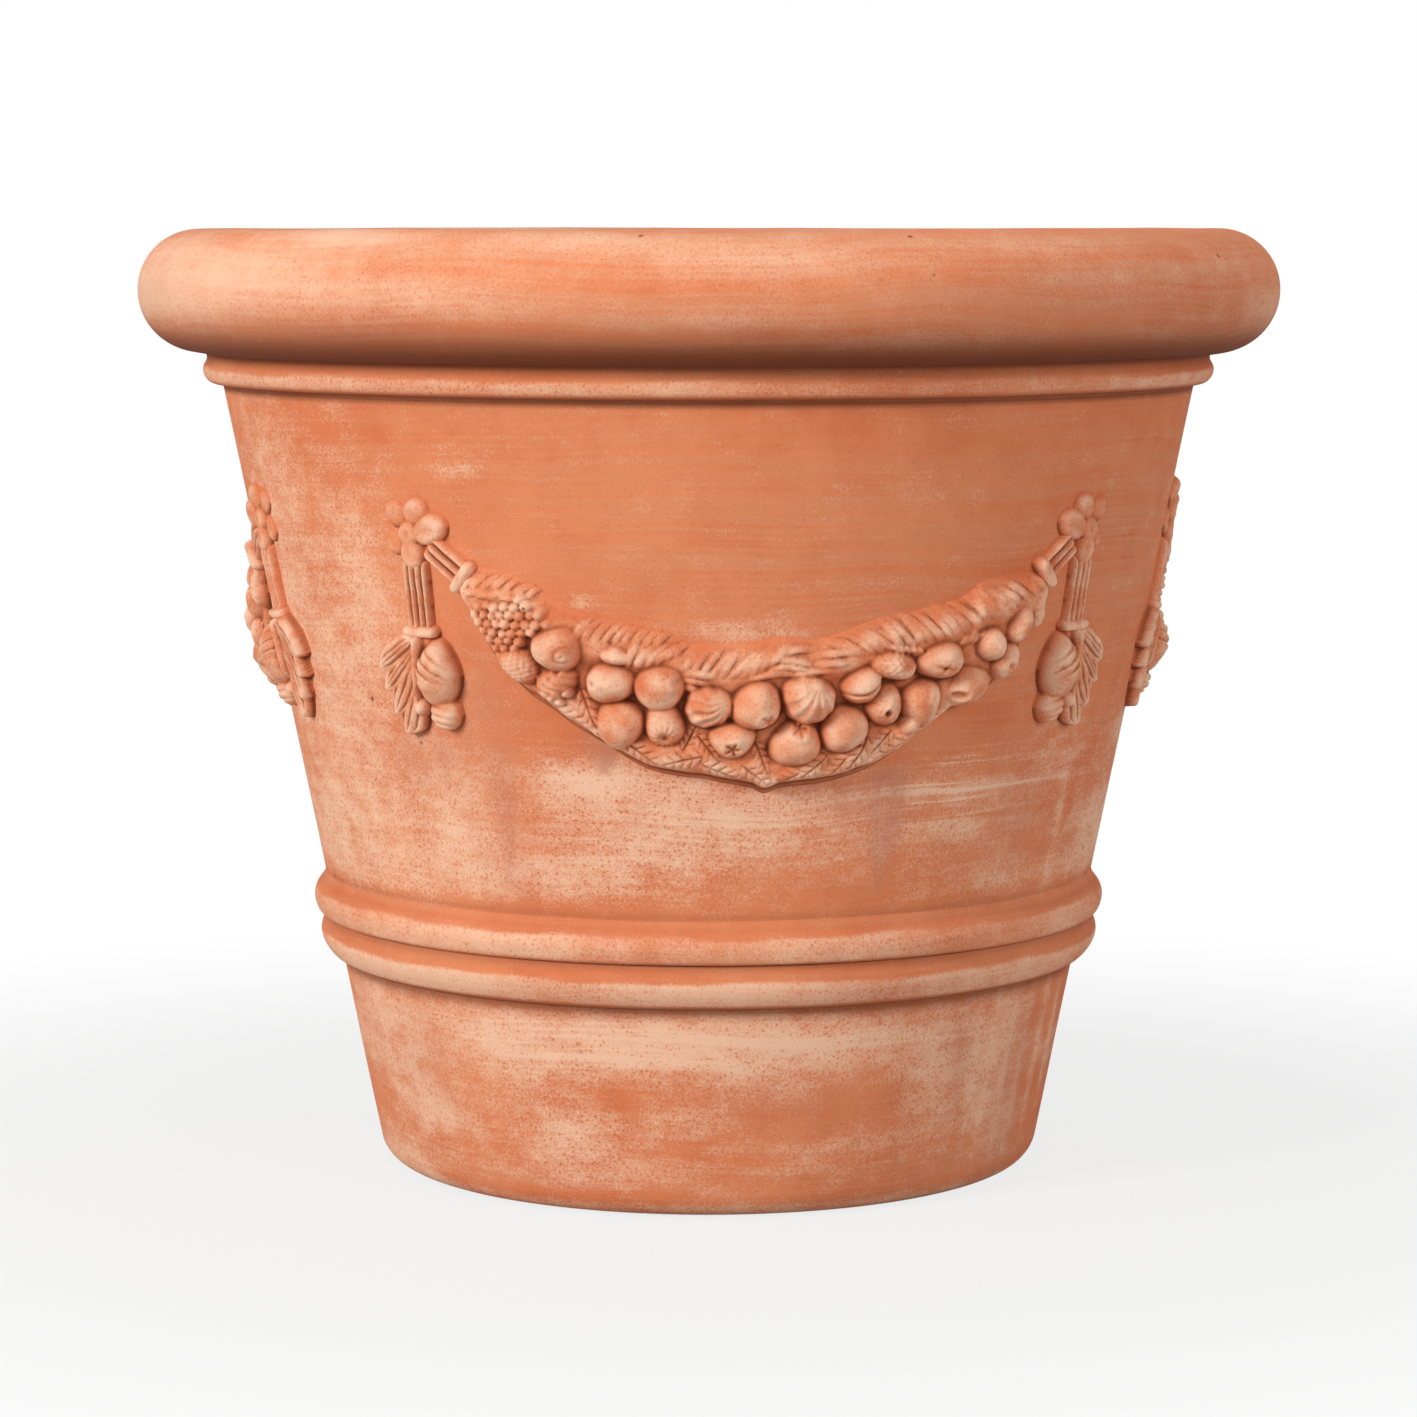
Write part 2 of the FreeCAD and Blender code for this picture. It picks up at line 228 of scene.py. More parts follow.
# the clay itself: clouds of tone, dark flecks, a few pits, and sand; a noise is scale, detail, roughness
clayGrain = {
    "cloud": (11.0, 3.0, 0.5), "cloudShare": 0.6, "mottle": (48.0, 4.0, 0.6), "mottleShare": 0.4,
    "cloudEdge": (0.34, 0.66), "fleck": (560.0, 2.0, 0.6), "fleckEdge": (0.56, 0.72),
    "pitScale": 190.0, "pitRarity": 0.9985, "pitEdge": (0.34, 0.14), "pitDepth": 2.0,
    "sand": (820.0, 3.0, 0.65), "sandShare": 0.5, "grit": (190.0, 3.0, 0.55), "gritShare": 0.6,
}


def makeGrainGroup():
    tree, given, result = newGroup("clayGrain", "ShaderNodeTree", (("Vector", "Vector"),), (
        ("Cloud", "Float"), ("Fleck", "Float"), ("Pit", "Float"), ("Height", "Float")))
    where = given["Vector"]

    def share(label):
        return times(tree, noise(tree, where, *clayGrain[label]), clayGrain[label + "Share"])

    cloud = plus(tree, share("cloud"), share("mottle"))
    plug(tree, result["Cloud"], ease(tree, cloud, *clayGrain["cloudEdge"]))
    plug(tree, result["Fleck"], ease(tree, noise(tree, where, *clayGrain["fleck"]), *clayGrain["fleckEdge"]))
    cells = node(tree, "ShaderNodeTexVoronoi", {"Vector": where, "Scale": clayGrain["pitScale"]})
    chosen = calc(tree, "GREATER_THAN", splitVector(tree, cells.outputs["Color"])[0], clayGrain["pitRarity"])
    pits = times(tree, ease(tree, cells.outputs["Distance"], *clayGrain["pitEdge"]), chosen)
    plug(tree, result["Pit"], pits)
    sand = plus(tree, share("sand"), share("grit"))
    plug(tree, result["Height"], minus(tree, sand, times(tree, pits, clayGrain["pitDepth"])))
    return tree


# level brush lines that waver a little; lines are level scale, upright scale, detail, roughness
brushLines = {
    "waver": (7.0, 1.0), "waverHeight": 0.02, "fine": (9.0, 520.0, 3.0, 0.6), "fineShare": 0.55,
    "broad": (5.0, 130.0, 2.0, 0.5), "broadShare": 0.45, "edge": (0.36, 0.64),
}


def makeBrushGroup():
    tree, given, result = newGroup(
        "brushLines", "ShaderNodeTree", (("Vector", "Vector"),), (("Streak", "Float"),))
    part = splitVector(tree, given["Vector"])
    waver = minus(tree, noise(tree, given["Vector"], *brushLines["waver"]), 0.5)
    height = plus(tree, part[2], times(tree, waver, brushLines["waverHeight"]))
    where = joinVector(tree, part[0], part[1], height)
    fine, broad = (times(tree, drawnOut(tree, where, *brushLines[label]), brushLines[label + "Share"])
                   for label in ("fine", "broad"))
    plug(tree, result["Streak"], ease(tree, plus(tree, fine, broad), *brushLines["edge"]))
    return tree


# marks left by water running down
runMarks = {"narrow": (95.0, 6.0, 3.0, 0.6), "edge": (0.42, 0.66)}


def makeRunGroup():
    tree, given, result = newGroup("runMarks", "ShaderNodeTree", (("Vector", "Vector"),), (("Run", "Float"),))
    narrow = drawnOut(tree, given["Vector"], *runMarks["narrow"])
    plug(tree, result["Run"], ease(tree, narrow, *runMarks["edge"]))
    return tree


# lime bloom: thin and speckled at its edges, solid where there is much of it
limeBloom = {
    "level": (0.7, 0.7, 1.0), "blotch": (85.0, 5.0, 0.64), "blotchShare": 1.25,
    "speck": (1050.0, 1.0, 0.5), "speckShare": 1.15, "brushShare": 0.16,
    "poreScale": 430.0, "poreChance": (0.15, 0.65), "poreEdge": (0.46, 0.14), "poreShare": 0.50,
    "full": 1.16,
}


def makeBloomGroup():
    tree, given, result = newGroup("limeBloom", "ShaderNodeTree", (
        ("Vector", "Vector"), ("Amount", "Float"), ("Ragged", "Float"), ("Streak", "Float"),
    ), (("Bloom", "Float"),))

    def spread(value, label):
        # to both sides of nothing
        return times(tree, minus(tree, value, 0.5), limeBloom[label])

    level = stretch(tree, given["Vector"], *limeBloom["level"])
    blotch = spread(noise(tree, level, *limeBloom["blotch"]), "blotchShare")
    speck = spread(noise(tree, given["Vector"], *limeBloom["speck"]), "speckShare")
    cells = node(tree, "ShaderNodeTexVoronoi", {"Vector": given["Vector"], "Scale": limeBloom["poreScale"]})
    chosen = ease(tree, splitVector(tree, cells.outputs["Color"])[0], *limeBloom["poreChance"])
    pores = times(tree, ease(tree, cells.outputs["Distance"], *limeBloom["poreEdge"]), chosen)
    uneven = plus(tree, plus(tree, blotch, speck), spread(given["Streak"], "brushShare"))
    uneven = minus(tree, uneven, times(tree, pores, limeBloom["poreShare"]))
    amount = plus(tree, given["Amount"], times(tree, uneven, given["Ragged"]))
    plug(tree, result["Bloom"], ease(tree, amount, 0.0, limeBloom["full"]))
    return tree


grainGroup = makeGrainGroup()
brushGroup = makeBrushGroup()
runGroup = makeRunGroup()
bloomGroup = makeBloomGroup()
print("node groups built")


def tone(red, green, blue):
    # a colour as it is read off a screen, for a shader's socket
    shares = [channel / 255 for channel in (red, green, blue)]
    return tuple(s / 12.92 if s <= 0.04045 else ((s + 0.055) / 1.055) ** 2.4 for s in shares) + (1.0,)


clayTones = {
    "deep": tone(207, 113, 71), "light": tone(221, 133, 90), "tan": tone(210, 140, 103),
    "ruddy": tone(172, 92, 61), "bloom": tone(242, 204, 174), "damp": tone(190, 126, 102),
    # the darkest tone is for painted shade, and for dirt in the grooves
    "shadeAndDirt": tone(116, 60, 36), "fleck": tone(180, 96, 61),
}


def tint(tree, base, colour, amount):
    made = node(tree, "ShaderNodeMix", data_type="RGBA")
    plug(tree, made.inputs[0], amount)
    plug(tree, made.inputs[6], base)
    plug(tree, made.inputs[7], colour)
    return made.outputs[2]


# what all the clays share
clayFinish = {
    "strokeEdge": (0.45, 0.9), "runShare": 0.45, "runLeast": 0.55, "pitShade": 0.8,
    "roughLeast": 0.86, "roughShare": 0.08, "shine": 0.22, "bumpDepth": 0.0009,
}


def clayMaterial(name, look):
    made = bpy.data.materials.new(name)
    made.use_nodes = True
    tree = made.node_tree
    shader = tree.nodes["Principled BSDF"]
    where = node(tree, "ShaderNodeTexCoord").outputs["Object"]

    def group(held, **inputs):
        return node(tree, "ShaderNodeGroup", inputs, node_tree=held).outputs

    def painted(label):
        return node(tree, "ShaderNodeAttribute", attribute_name=label).outputs["Fac"]

    grain = group(grainGroup, Vector=where)
    streak = group(brushGroup, Vector=where)["Streak"]
    run = group(runGroup, Vector=where)["Run"]
    stroke = times(tree, painted("stroke"), ease(tree, streak, *clayFinish["strokeEdge"]))
    amount = plus(tree, plus(tree, painted("bloom"), look["haze"]), stroke)
    bloom = group(bloomGroup, Vector=where, Amount=amount, Ragged=look["ragged"], Streak=streak)["Bloom"]
    wet = plus(tree, times(tree, run, clayFinish["runShare"]), clayFinish["runLeast"])
    # the darkest tint: painted shade under overhangs and in grooves, hollows, cuts and pits, with some dirt in
    # the grooves
    dark = calc(tree, "MAXIMUM", painted("shadeAndDirt"), times(tree, grain["Pit"], clayFinish["pitShade"]))
    colour = tint(tree, clayTones["deep"], clayTones["light"], grain["Cloud"])
    for label, amount in (
            ("tan", times(tree, plus(tree, painted("tan"), look["brush"]), streak)),
            ("ruddy", painted("ruddy")),
            ("fleck", times(tree, grain["Fleck"], look["fleck"])),
            ("bloom", times(tree, bloom, look["bloom"])),
            ("damp", times(tree, painted("damp"), wet)),
            ("shadeAndDirt", dark)):
        colour = tint(tree, colour, clayTones[label], amount)
    plug(tree, shader.inputs["Base Color"], colour)
    rough = plus(tree, times(tree, grain["Cloud"], clayFinish["roughShare"]), clayFinish["roughLeast"])
    plug(tree, shader.inputs["Roughness"], rough)
    shader.inputs["Specular IOR Level"].default_value = clayFinish["shine"]
    height = plus(tree, grain["Height"], times(tree, streak, look["lines"]))
    bump = node(tree, "ShaderNodeBump", {
        "Strength": look["bump"], "Distance": clayFinish["bumpDepth"], "Height": height})
    plug(tree, shader.inputs["Normal"], bump.outputs["Normal"])
    return made


clays = {
    "wall_clay": clayMaterial("wallClay", {
        "haze": 0.0, "ragged": 1.0, "brush": 0.18, "fleck": 0.22, "bloom": 0.79, "bump": 0.30, "lines": 0.3}),
    "rim_clay": clayMaterial("rimClay", {
        "haze": 0.10, "ragged": 0.6, "brush": 0.5, "fleck": 0.15, "bloom": 0.62, "bump": 0.22, "lines": 0.5}),
    "bead_clay": clayMaterial("beadClay", {
        "haze": 0.03, "ragged": 0.75, "brush": 0.3, "fleck": 0.2, "bloom": 0.72, "bump": 0.26, "lines": 0.4}),
    "sprig_clay": clayMaterial("sprigClay", {
        "haze": 0.0, "ragged": 0.5, "brush": 0.0, "fleck": 0.15, "bloom": 0.80, "bump": 0.42, "lines": 0.0}),
}
print("materials:", ", ".join(clays))

paintLayers = ("bloom", "stroke", "damp", "tan", "ruddy", "shadeAndDirt")


def storePaint(mesh, layers):
    for label in paintLayers:
        values = layers.get(label, 0.0) * np.ones(len(mesh.vertices))
        store = mesh.attributes.new(label, "FLOAT", "POINT")
        store.data.foreach_set("value", np.clip(values, 0, 1).astype(np.float32))


def vertexTable(mesh):
    table = np.empty(len(mesh.vertices) * 3, dtype=np.float64)
    mesh.vertices.foreach_get("co", table)
    return table.reshape(-1, 3)


patchFade = 0.7
sidesAndBack = (75, 285)   # degrees, clear of the front
drip = {"body": 1.7, "taper": 0.6, "tip": 0.01, "topFade": 10}


def softPatches(angle, level, patches):
    # patches are (angle, level, half width, half height, strength), each fading out from its middle
    left = np.ones(len(angle))
    for patchAngle, patchLevel, halfWidth, halfHeight, strength in patches:
        turn = (angle - patchAngle + 180) % 360 - 180
        far = (turn / halfWidth) ** 2 + ((level - patchLevel) / halfHeight) ** 2
        left *= 1 - strength * np.exp(-patchFade * far)
    return 1 - left


def dripMarks(angle, level, drips):
    # runs of damp that narrow to a point: angle, top, tip, half width, strength
    made = np.zeros(len(angle))
    for dripAngle, top, tip, halfWidth, strength in drips:
        share = np.clip((level - tip) / (top - tip), 0, 1)
        turn = np.abs((angle - dripAngle + 180) % 360 - 180)
        width = halfWidth * share ** drip["taper"] + drip["tip"]
        body = np.clip(drip["body"] - drip["body"] * turn / width, 0, 1)
        fade = np.clip((top + drip["topFade"] - level) / drip["topFade"], 0, 1)
        made = np.maximum(made, strength * body * (share > 0) * fade)
    return made


def band(level, middle, reach, strength=1.0):
    # full at one level, fading out above and below it
    return strength * np.exp(-((level - middle) / reach) ** 2)


def bands(level, rows):
    return sum(band(level, *row) for row in rows)


def scatterPatches(spec):
    # more patches, for the sides and the back
    for layer, seed, count, *spans in spec["scatter"]:
        draw = np.random.default_rng(seed)
        spec[layer] += [tuple(draw.uniform(*span) for span in (sidesAndBack, *spans)) for index in range(count)]


def turnPiece(name, nodeName, slot, outline, spec, paint):
    mesh = bpy.data.meshes.new(name)
    points = [(radius * mm, 0.0, level * mm) for radius, level in outline]
    mesh.from_pydata(points, [(i, (i + 1) % len(points)) for i in range(len(points))], [])
    piece = bpy.data.objects.new(name, mesh)
    bpy.context.collection.objects.link(piece)
    runTree(piece, turnedTree, {
        "Segments": spec["segments"], "Unevenness": spec["unevenness"] * mm, "Lump Scale": spec["lumpScale"],
        "Seed": spec["seed"], "Follow Face": spec["followFace"], "Clay": clays[slot]})
    mesh = piece.data
    places = vertexTable(mesh)
    pointOutwards(mesh, places, np.array(outline).mean(axis=0) * mm)
    angle = np.degrees(np.arctan2(places[:, 0], -places[:, 1]))
    radius = np.hypot(places[:, 0], places[:, 1]) / mm
    storePaint(mesh, paint(angle, radius, places[:, 2] / mm))
    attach(piece, "root")
    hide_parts(nodeName)
    print("turned", name, len(mesh.vertices), "points")


def pointOutwards(mesh, places, middle, every=97):
    # a sample of faces tells whether they point away from the middle of the outline
    corners = np.array([mesh.polygons[i].vertices[:3] for i in range(0, len(mesh.polygons), every)])
    first, second, third = (places[corners[:, k]] for k in (0, 1, 2))
    centre = places[corners].mean(axis=1)
    around = np.hypot(centre[:, 0], centre[:, 1])
    outward = (around - middle[0]) / around
    away = np.stack([centre[:, 0] * outward, centre[:, 1] * outward, centre[:, 2] - middle[1]], axis=1)
    if (np.cross(second - first, third - first) * away).sum() < 0:
        mesh.flip_normals()


def steps(start, end, count):
    return [(start[0] + (end[0] - start[0]) * i / count, start[1] + (end[1] - start[1]) * i / count)
            for i in range(count)]


def throughPoints(points, count):
    # a smooth outline through measured points, by a Catmull-Rom curve
    held = np.array([points[0]] + list(points) + [points[-1]], dtype=float)
    made = []
    for i in range(1, len(held) - 2):
        for share in np.arange(count) / count:
            a, b, c, d = held[i - 1:i + 3]
            made.append(tuple(0.5 * (2 * b + (c - a) * share + (2 * a - 5 * b + 4 * c - d) * share ** 2
                                     + (3 * b - a - 3 * c + d) * share ** 3)))
    return made + [tuple(held[-2])]


# wall and slab meet in one face, so they are out of true in the same way
bodyTurning = {"segments": 520, "unevenness": 1.3, "lumpScale": 9.0, "seed": 3.1, "followFace": 0.0}

# the wall
potWall = {
    **bodyTurning, "outerSteps": 132, "innerSteps": 24, "edgeSteps": 6, "insideTan": 0.5,
    # level, reach and strength: dark clay and painted shade in the grooves, and a bare strip above the upper
    # belt
    "grooveDirtAndShade": [(412.2, 2.0, .85), (157.8, 2.4, .25), (108.2, 2.6, .75)], "bareStrip": (157, 7, .65),
    "bloom": [
        (-67, 372, 8.6, 37, .35), (-46, 311, 5, 51, .62), (-54, 263, 5.2, 32, .5), (-37, 202, 6.1, 36, .66),
        (-14, 225, 8, 11, .95), (-2, 210, 15.9, 20, .76), (-9, 187, 15.2, 15, .6), (15, 197, 12.6, 23, .2),
        (38, 217, 13, 11, .35), (36, 187, 11, 16, .38), (69, 179, 8.5, 30, .7), (54, 227, 8.3, 21, .4),
        (3, 303, 6.5, 6, .45), (7, 298, 4.8, 5, .4), (-15, 316, 1.7, 3, .5), (-68, 179, 9.3, 23, .6),
        (-66, 285, 7, 33, .4), (30, 219, 14.6, 4, .5), (-21, 175, 8.9, 10, .6), (-54, 164, 12.6, 11, .5),
        (47, 167, 12.2, 8, .55), (-8, 273, 3.7, 5, .2), (-29, 379, 2.6, 7, .4), (-7, 414, 5.4, 4, .3),
        (-60, 210, 12, 40, .5), (-58, 90, 12, 30, .55), (-62, 330, 14, 90, .3), (-44, 172, 10, 18, .5),
        (-66, 300, 10, 60, .3), (-50, 205, 10, 30, .35), (-33, 200, 6, 30, .3), (-10, 92, 29, 14, .95),
        (-8, 93, 22, 10, .9), (-56, 62, 10, 22, .45), (17, 88, 17.9, 12, .75), (-33, 89, 7.7, 14, .7),
        (-49, 42, 9.9, 10, .7), (-22, 42, 7, 12, .85), (-31, 66, 11.5, 10, .5), (-3, 53, 9.4, 9, .5),
        (36, 77, 4.4, 27, .55), (53, 80, 6.8, 34, .6), (46, 62, 10, 26, .65), (-67, 14, 13, 12, .7),
        (-15, 23, 24.9, 9, .5), (-71, 87, 10, 26, .45), (21, 34, 16, 9, .35), (8, 68, 9.3, 7, .4),
        (57, 30, 6, 13, .5),
        # narrow runs
        (46, 76, .8, 30, .6), (50, 68, .7, 34, .55), (55, 72, .9, 32, .65), (60, 66, 1.0, 36, .55),
        (66, 72, 1.2, 34, .65), (73, 68, 1.4, 34, .6), (-54, 76, .8, 26, .4), (-62, 70, 1.0, 30, .45),
        (57, 196, .9, 30, .4), (-52, 200, .8, 34, .4),
    ],
    "damp": [
        (-28, 204, 4, 44, .25), (-37, 233, 7, 15, .35), (21, 216, 5.7, 10, .5), (46, 204, 5.6, 32, .4),
        (-31, 264, 4.6, 20, .4), (-1, 293, 2.4, 5, .3), (58, 51, 4.5, 35, .6), (43, 75, 2.7, 33, .4),
        (-52, 70, 6, 22, .35), (14, 62, 9.7, 11, .25),
    ],
    "drips": [(-13.5, 246, 228, 3.4, .8), (24, 226, 168, 4.6, .7), (-28, 240, 166, 3.4, .55),
              (13, 236, 219, 2.2, .5)],
    "strokes": [
        (-20, 92, 13, 9, .6), (6, 94, 14, 8, .4), (38, 216, 11, 12, .75), (33, 226, 9, 7, .6),
        (5, 205, 16, 10, .25),
    ],
    "tan": [
        (10, 346, 32.8, 39, .4), (38, 293, 20, 46, .45), (-17, 385, 24.5, 19, .2), (61, 328, 16.4, 48, .5),
    ],
    # layer, seed, count, then the spans of levels, half widths, half heights and strengths
    "scatter": [
        ("bloom", 11, 26, (165, 250), (5, 16), (8, 34), (.3, .9)),
        ("bloom", 12, 16, (30, 100), (6, 18), (8, 24), (.3, .9)),
        ("bloom", 13, 12, (270, 400), (4, 9), (16, 50), (.2, .6)),
        ("damp", 14, 12, (40, 230), (2, 6), (14, 44), (.4, .9)),
        ("tan", 15, 8, (280, 400), (16, 34), (20, 50), (.3, .6)),
    ],
}
scatterPatches(potWall)


def wallPaint(angle, radius, level):
    outside = (radius > wallRadius(level) - wall["thickness"] / 2).astype(float)
    wet = np.maximum(softPatches(angle, level, potWall["damp"]), dripMarks(angle, level, potWall["drips"]))
    bare = band(level, *potWall["bareStrip"])
    return {
        "bloom": softPatches(angle, level, potWall["bloom"]) * outside * (1 - bare),
        "damp": wet * outside,
        "stroke": softPatches(angle, level, potWall["strokes"]) * outside,
        "tan": softPatches(angle, level, potWall["tan"]) * outside + potWall["insideTan"] * (1 - outside),
        # dark clay and painted shade along the grooves
        "shadeAndDirt": bands(level, potWall["grooveDirtAndShade"]) * outside,
    }


wallOuter = [(wallRadius(z), z) for z in (wall["slabTop"], wall["seatLevel"])]
wallInner = [(r - wall["thickness"], z) for r, z in wallOuter]
turnPiece("potWallClay", "pot_wall", "wall_clay", (
    steps(wallOuter[0], wallOuter[1], potWall["outerSteps"])
    + steps(wallOuter[1], wallInner[1], potWall["edgeSteps"])
    + steps(wallInner[1], wallInner[0], potWall["innerSteps"])
    + steps(wallInner[0], wallOuter[0], potWall["edgeSteps"])
), potWall, wallPaint)

# the base slab, with its worn lower edge
baseSlab = {
    **bodyTurning, "holeRadius": 20.0, "edgeRadius": 16.0, "edgeSteps": 14, "faceSteps": 30, "holeSteps": 8,
    "lip": 4, "lipSteps": 4, "outerFrom": 140, "worn": (4, 4, .55), "tan": 0.4,
}


def slabOutline():
    corner = wallRadius(0)
    bend = baseSlab["edgeRadius"]
    hole = baseSlab["holeRadius"]
    lean = math.atan(wall["taper"])
    middle = (corner - bend / math.tan((math.pi / 2 + lean) / 2), bend)
    made = steps((hole, 0), (middle[0], 0), baseSlab["faceSteps"])
    for i in range(baseSlab["edgeSteps"] + 1):
        turn = -math.pi / 2 + (math.pi / 2 - lean) * i / baseSlab["edgeSteps"]
        made.append((middle[0] + bend * math.cos(turn), middle[1] + bend * math.sin(turn)))
    top = wall["slabTop"]
    lip = top - baseSlab["lip"]
    made += steps((wallRadius(lip), lip), (wallRadius(top), top), baseSlab["lipSteps"])
    made += steps((wallRadius(top), top), (hole, top), baseSlab["faceSteps"])
    return made + steps((hole, top), (hole, 0), baseSlab["holeSteps"])


def slabPaint(angle, radius, level):
    layers = wallPaint(angle, radius, level)
    outside = (radius > baseSlab["outerFrom"]).astype(float)
    worn = band(level, *baseSlab["worn"]) * outside
    return {"bloom": layers["bloom"] * outside + worn, "damp": layers["damp"] * outside, "tan": baseSlab["tan"]}


turnPiece("baseSlabClay", "base_slab", "wall_clay", slabOutline(), baseSlab, slabPaint)

# the rolled rim
rolledRim = {
    "segments": 420, "unevenness": 2.6, "lumpScale": 6.5, "seed": 5.7, "followFace": 1.0,
    "rollRadius": 32.0, "rollSteps": 96, "outRadius": 300.0, "footSteps": 10, "tan": 0.3,
    # level, reach and strength: painted shade on the underside, within or beyond a radius, and a ruddy painted
    # shade above it
    "innerShade": (430.5, 4.5, .8), "innerTo": 275, "outerShade": (430, 14, 1.0), "outerFrom": 255,
    "lowRuddyShade": (436, 7, .45),
    "bloom": [
        (-52, 470, 16, 14, .85), (-38, 491, 8, 5, .95), (-66, 476, 10, 14, .6), (-15, 489, 10, 5, .6),
        (6, 480, 12, 10, .55), (-27, 462, 10, 10, .5), (19, 440, 12, 6, .3), (33, 486, 9, 5, .4),
        (-62, 447, 8, 8, .3), (60, 478, 8, 8, .35), (40, 470, 10, 8, .3), (0, 455, 8, 6, .25),
        (48, 446, 9, 5, .15),
    ],
    "ruddy": [
        (42, 462, 14, 13, .15), (-70, 466, 8, 12, .35), (-36, 445, 12, 7, .3), (30, 470, 9, 9, .2),
        (62, 452, 10, 9, .25), (8, 446, 10, 5, .3),
    ],
    "scatter": [
        ("bloom", 21, 22, (444, 494), (6, 16), (5, 14), (.3, .85)),
        ("ruddy", 22, 12, (440, 480), (6, 14), (5, 12), (.2, .5)),
    ],
}
scatterPatches(rolledRim)


def rimOutline():
    roll = rolledRim["rollRadius"]
    middle = (rolledRim["outRadius"] - roll, wall["seatLevel"] + roll)
    made = [(middle[0] + roll * math.cos(turn), middle[1] + roll * math.sin(turn))
            for turn in np.linspace(-math.pi / 2, math.pi, rolledRim["rollSteps"])]
    foot = (wallRadius(wall["seatLevel"]) - wall["thickness"], wall["seatLevel"])
    footSteps = rolledRim["footSteps"]
    return made + steps(made[-1], foot, footSteps)[1:] + steps(foot, made[0], footSteps)


def rimPaint(angle, radius, level):
    # the underside is darkened by painted shade, the low part of the roll by a ruddy painted shade
    inner = band(level, *rolledRim["innerShade"]) * (radius < rolledRim["innerTo"])
    outer = band(level, *rolledRim["outerShade"]) * (radius > rolledRim["outerFrom"])
    return {
        "bloom": softPatches(angle, level, rolledRim["bloom"]),
        "ruddy": np.maximum(softPatches(angle, level, rolledRim["ruddy"]), band(level, *rolledRim["lowRuddyShade"])),
        "shadeAndDirt": inner + outer,
        "tan": rolledRim["tan"],
    }


turnPiece("rolledRimClay", "rolled_rim", "rim_clay", rimOutline(), rolledRim, rimPaint)

# the coils round the wall, from measured outlines; grooves are level, reach and strength of dark clay and
# painted shade along their joins
coils = {
    "neckBead": {
        "node": "neck_bead", "unevenness": 0.9, "lumpScale": 11.0, "seed": 1.3,
        "outline": [(255.6, 413.6), (258.4, 413.9), (262.6, 415.0), (265.2, 417.6), (266.3, 421.0),
                    (265.9, 423.6), (264.8, 425.6), (264.2, 427.2), (264.3, 428.8), (265.2, 430.5)],
        "back": [(257.0, 430.5), (252.0, 413.6)], "cream": (416.2, 422.6), "creamBloom": .62,
        "grooveDirtAndShade": [(430.0, 2.6, .85), (413.4, 1.5, .8)],
    },
    "upperBead": {
        "node": "belt_bead_upper", "unevenness": 1.0, "lumpScale": 10.0, "seed": 2.6,
        "outline": [(201.0, 134.0), (206.2, 134.2), (208.6, 136.2), (210.0, 139.6), (210.5, 143.2),
                    (209.6, 146.8), (207.8, 149.6), (206.2, 151.6), (205.0, 154.2), (204.3, 157.2)],
        "back": [(201.0, 157.2), (198.0, 134.0)], "cream": (135.6, 148.0), "creamBloom": .74,
        "grooveDirtAndShade": [(133.8, 1.3, .6), (151.8, 1.6, .10)],
    },
    "lowerBead": {
        "node": "belt_bead_lower", "unevenness": 1.0, "lumpScale": 10.0, "seed": 7.2,
        "outline": [(194.4, 110.2), (197.4, 110.6), (200.8, 112.6), (203.8, 115.8), (206.0, 119.6),
                    (207.1, 123.6), (206.7, 127.2), (205.4, 130.6), (205.0, 133.8)],
        "back": [(196.0, 133.8), (192.0, 110.2)], "cream": (113.2, 125.2), "creamBloom": .92,
        "grooveDirtAndShade": [(133.4, 3.0, .30), (110.4, 1.8, .75)],
    },
}
coilMaking = {"segments": 400, "followFace": 1.0, "faceSteps": 5, "edgeSteps": 3, "backSteps": 8}
# how the cream bloom lies on a coil: where it is rubbed off, and how its edges waver and fade
coilWear = {
    "rubs": 20, "rubWidths": (3, 12), "rubHeight": 30, "rubStrengths": (.3, .9), "rubShare": 0.6,
    "wavers": ((0.6, 9), (0.4, 23)), "upperEdge": (1.1, 2.2), "lowerEdge": (1.4, 2.0), "ruddy": 0.08,
}


def coilPaint(spec):
    draw = np.random.default_rng(int(spec["seed"] * 10))
    low, high = spec["cream"]
    rubbed = [(draw.uniform(-180, 180), high, draw.uniform(*coilWear["rubWidths"]), coilWear["rubHeight"],
               draw.uniform(*coilWear["rubStrengths"])) for i in range(coilWear["rubs"])]

    def paint(angle, radius, level):
        (broad, broadWaves), (fine, fineWaves) = coilWear["wavers"]
        around = np.radians(angle)
        waver = broad * np.sin(around * broadWaves + low) + fine * np.sin(around * fineWaves + high)
        (over, overFade), (under, underFade) = coilWear["upperEdge"], coilWear["lowerEdge"]
        crest = np.clip((high + over + waver - level) / overFade, 0, 1)
        crest = crest * np.clip((level - low + under) / underFade, 0, 1)
        left = 1 - coilWear["rubShare"] * softPatches(angle, level, rubbed)
        return {
            "bloom": spec["creamBloom"] * crest * left,
            # dark clay and painted shade along its grooves
            "shadeAndDirt": bands(level, spec["grooveDirtAndShade"]),
            "ruddy": coilWear["ruddy"] * (1 - crest),
        }
    return paint


for coilName, coil in coils.items():
    face = throughPoints(coil["outline"], coilMaking["faceSteps"])
    top, foot = coil["back"]
    edge, back = coilMaking["edgeSteps"], coilMaking["backSteps"]
    outline = face + steps(face[-1], top, edge)[1:] + steps(top, foot, back) + steps(foot, face[0], edge)
    turnPiece(coilName + "Clay", coil["node"], "bead_clay", outline, {**coilMaking, **coil}, coilPaint(coil))

